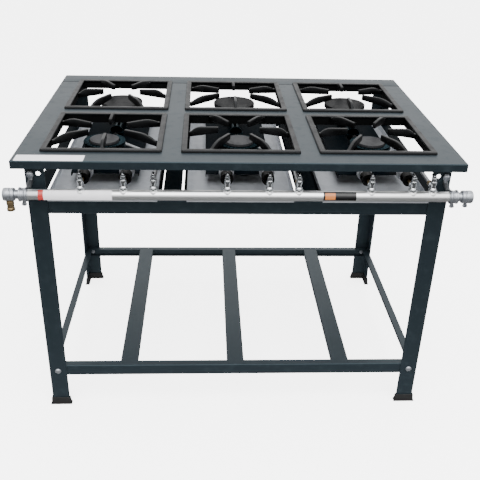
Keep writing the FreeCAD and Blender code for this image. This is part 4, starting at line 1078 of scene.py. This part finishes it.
# On the pipe, between two angles: 0 to the front and 90 up
pipeStickers = {
    "bare_sticker_pipe": {"shade": "white", "ends": (-490, -322), "arc": (-55, 75), "layers": 1},
    "red_band_pipe": {"shade": "red", "ends": (-503, -490), "arc": (-55, 75), "layers": 1},
    "dark_sticker_pipe": {"shade": "dark", "ends": (206, 289), "arc": (-30, 70), "layers": 1},
    "orange_block_pipe": {"shade": "orange", "ends": (210, 236), "arc": (-18, 56), "layers": 2},
}


def addTopSticker(finish):
    x0, x1 = sticker["topX"]
    y0, y1 = sticker["topY"]
    level = boxOf("top_front_bar")[1].z + sticker["thick"] / 2
    outline = [(x0, y0), (x1, y0), (x1, y1), (x0, y1)]
    bm = prism(outline, sticker["thick"], Matrix.Translation((0, 0, level)))
    roundEdges(bm, uprightEdges(bm), sticker["corner"], segments=4)
    addPiece("bare_sticker_top", bm, finish)


def addPipeSticker(name, sheet, finish):
    bm = bmesh.new()
    radius = manifold["radius"] + sticker["clear"]
    y = manifold["y"]
    z = manifold["z"]
    low, high = [math.radians(angle) for angle in sheet["arc"]]
    spot = (y - radius * math.cos(low), z + radius * math.sin(low))
    verts = [bm.verts.new((end, *spot)) for end in sheet["ends"]]
    edge = bm.edges.new(verts)
    bmesh.ops.spin(bm, geom=verts + [edge], cent=onPipe(0), axis=right, angle=low - high,
                   steps=sticker["steps"])
    bmesh.ops.recalc_face_normals(bm, faces=bm.faces)
    if bm.faces[0].normal.dot(Vector((0, spot[0] - y, spot[1] - z))) > 0:
        bmesh.ops.reverse_faces(bm, faces=bm.faces)
    bmesh.ops.solidify(bm, geom=bm.faces[:], thickness=sheet["layers"] * sticker["thick"])
    addPiece(name, bm, finish)


# CAD nodes that keep their shape get a finish of their own
topNodes = ["top_front_bar", "top_side_bars", "top_mid_bars", "top_cross_bars"]
paintedNodes = [
    "leg_front_left", "leg_front_right", "leg_rear_left", "leg_rear_right",
    "front_apron", "rear_apron", "shelf_long_rails", "shelf_side_rails", "shelf_slats",
]
hiddenNodes = ["side_aprons", "tray_rails", "burner_cross_bars", "burner_plates"]


def dressNodes(nodes, finish):
    for node in nodes:
        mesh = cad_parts[node].data
        mesh.materials.clear()
        mesh.materials.append(finish)


painted = paintFinish("darkPaint", paint)
ironCast = ironFinish("castIron", iron)
ironBlued = ironFinish("bluedIron", blued)
chromed = wornFinish("valveChrome", chrome)
zincCast = wornFinish("castZinc", castZinc)
# The top's paint, with painted shade on the walls of its openings
topPaint = paintFinish("topPaint", paint, shadedWalls=True)
dressNodes(paintedNodes, painted)
dressNodes(topNodes, topPaint)
addRearBar(topPaint)
# Side aprons, tray rails, cross bars and plates under the top: black paint darkened as painted shade
dressNodes(hiddenNodes, paintFinish("blackPaintAndShade", blackPaintAndShade))
dressNodes(["drip_tray_" + column for column in columns], galvanisedFinish())
print("painted frame and trays dressed")

capFinishes = {"front": wornFinish("capLight", lightCap), "rear": wornFinish("capDark", darkCap)}
for column in columns:
    for row in rows:
        addGrate(row + "_" + column, ironCast)
        addCap(row + "_" + column, capFinishes[row])
addCrowns(ironBlued)
addInnerBurners(ironBlued)
addRearBurners(ironBlued)
bareCollar = wornFinish("collarSteel", collarSteel)
addStopCollars(bareCollar)
print("grates, burners and caps made")

addManifold(pipeFinish("pipeZinc", pipeMetal))
# The straps get a darker copy of the cast zinc, as painted shade
addBrackets(zincCast, wornFinish("shadedStrapMetal", shadedStrapMetal))
addPipeEnds(zincCast)
addInlet(wornFinish("inletBronze", inletBrass))
addValves(chromed)
for node in valveNodes:
    addHandle(node, chromed)
jetCoat = wornFinish("jetBrass", jetBrass)
addInjectors(jetCoat, ironCast)
addGasLines(pipeFinish("lineAluminium", lineMetal), jetCoat, ironCast)
shutterCoat = wornFinish("shutterBlack", shutterBlack)
for node in shutterNodes:
    addShutter(node, shutterCoat, bareCollar)
print("manifold, valves and shutters made")

addFasteners(zincCast)
addShoes(wornFinish("shoeRubber", rubber))
papers = {shade: wornFinish(shade + "Paper", {**paper, **tone}) for shade, tone in paperShades.items()}
addTopSticker(papers["white"])
for name, sheet in pipeStickers.items():
    addPipeSticker(name, sheet, papers[sheet["shade"]])
print("bolts, shoes and stickers made")


# Floor, light and camera
stage = {
    "size": 14, "colour": (0.90, 0.90, 0.90), "hazy": 0.98, "rough": 0.9, "glow": 4.0,
    "sky": 1.7, "ground": 0.12, "horizon": 0.12,
}


def floorFinish():
    finish = Finish("paleFloor")
    haze = finish.noise(scale=1.5, detail=2)
    tone = finish.blend(haze, stage["colour"], tuple(stage["hazy"] * part for part in stage["colour"]))
    look = {"Base Color": tone, "Roughness": stage["rough"], "Emission Color": (1, 1, 1, 1),
            "Emission Strength": stage["glow"]}
    finish.fill(finish.shader, look)
    return finish.material


def addStage():
    bm = bmesh.new()
    bmesh.ops.create_grid(bm, x_segments=2, y_segments=2, size=stage["size"])
    floor = linked("floor", meshOf("floor", bm, floorFinish()))
    floor.visible_glossy = False
    floor.visible_diffuse = False


def addSky():
    # Soft white above, grey below the horizon, so that metal has something dark to mirror
    world = bpy.data.worlds.new("studio")
    world.use_nodes = True
    tree = world.node_tree
    direction = tree.nodes.new("ShaderNodeTexCoord")
    height = tree.nodes.new("ShaderNodeSeparateXYZ")
    level = tree.nodes.new("ShaderNodeMapRange")
    level.inputs["From Min"].default_value = -stage["horizon"]
    level.inputs["From Max"].default_value = stage["horizon"]
    level.inputs["To Min"].default_value = stage["ground"]
    level.inputs["To Max"].default_value = stage["sky"]
    tree.links.new(direction.outputs["Generated"], height.inputs[0])
    tree.links.new(height.outputs["Z"], level.inputs["Value"])
    tree.links.new(level.outputs[0], tree.nodes["Background"].inputs["Strength"])
    tree.nodes["Background"].inputs["Color"].default_value = (1, 1, 1, 1)
    bpy.context.scene.world = world


# In metres and watts
lamps = {
    "key": {"place": (0, -2.0, 3.0), "size": (3.8, 2.6), "watts": 135},
    "fill": {"place": (2.4, -1.2, 2.2), "size": (2.0, 2.0), "watts": 15},
    "top": {"place": (0.2, 0.6, 3.4), "size": (2.6, 2.6), "watts": 35},
    "bounce": {"place": (0, -0.3, 0.01), "size": (1.7, 1.7), "watts": 34, "aim": (0, -0.3, 1)},
}
lampAim = (0, 0, 0.6)      # where a lamp has no aim of its own
hiddenLamps = ("bounce",)


def addLamps():
    for name, lamp in lamps.items():
        light = bpy.data.lights.new(name, "AREA")
        light.shape = "RECTANGLE"
        light.size, light.size_y = lamp["size"]
        light.energy = lamp["watts"]
        holder = linked(name, light)
        place = Vector(lamp["place"])
        facing = (Vector(lamp.get("aim", lampAim)) - place).to_track_quat("-Z", "Y").to_matrix().to_4x4()
        holder.matrix_world = Matrix.Translation(place) @ facing
        if name in hiddenLamps:
            holder.visible_camera = False
            holder.visible_glossy = False


# Place in millimetres, angles in degrees
shot = {
    "place": (-92.1, -1594.1, 1430.7), "pitch": -28.03, "yaw": 3.28, "roll": 1.69,
    "lens": 52.33, "sensor": 36,
}


def addCamera():
    camera = bpy.data.cameras.new("photoCamera")
    camera.lens = shot["lens"]
    camera.sensor_width = shot["sensor"]
    holder = linked("photoCamera", camera)
    turn = Matrix.Rotation(-math.radians(shot["yaw"]), 4, "Z")
    tilt = Matrix.Rotation(math.radians(90 + shot["pitch"]), 4, "X")
    roll = Matrix.Rotation(math.radians(shot["roll"]), 4, "Z")
    holder.matrix_world = Matrix.Translation(toFrame @ Vector(shot["place"])) @ turn @ tilt @ roll
    bpy.context.scene.camera = holder


addStage()
addSky()
addLamps()
addCamera()
print("stage, lamps and camera set")
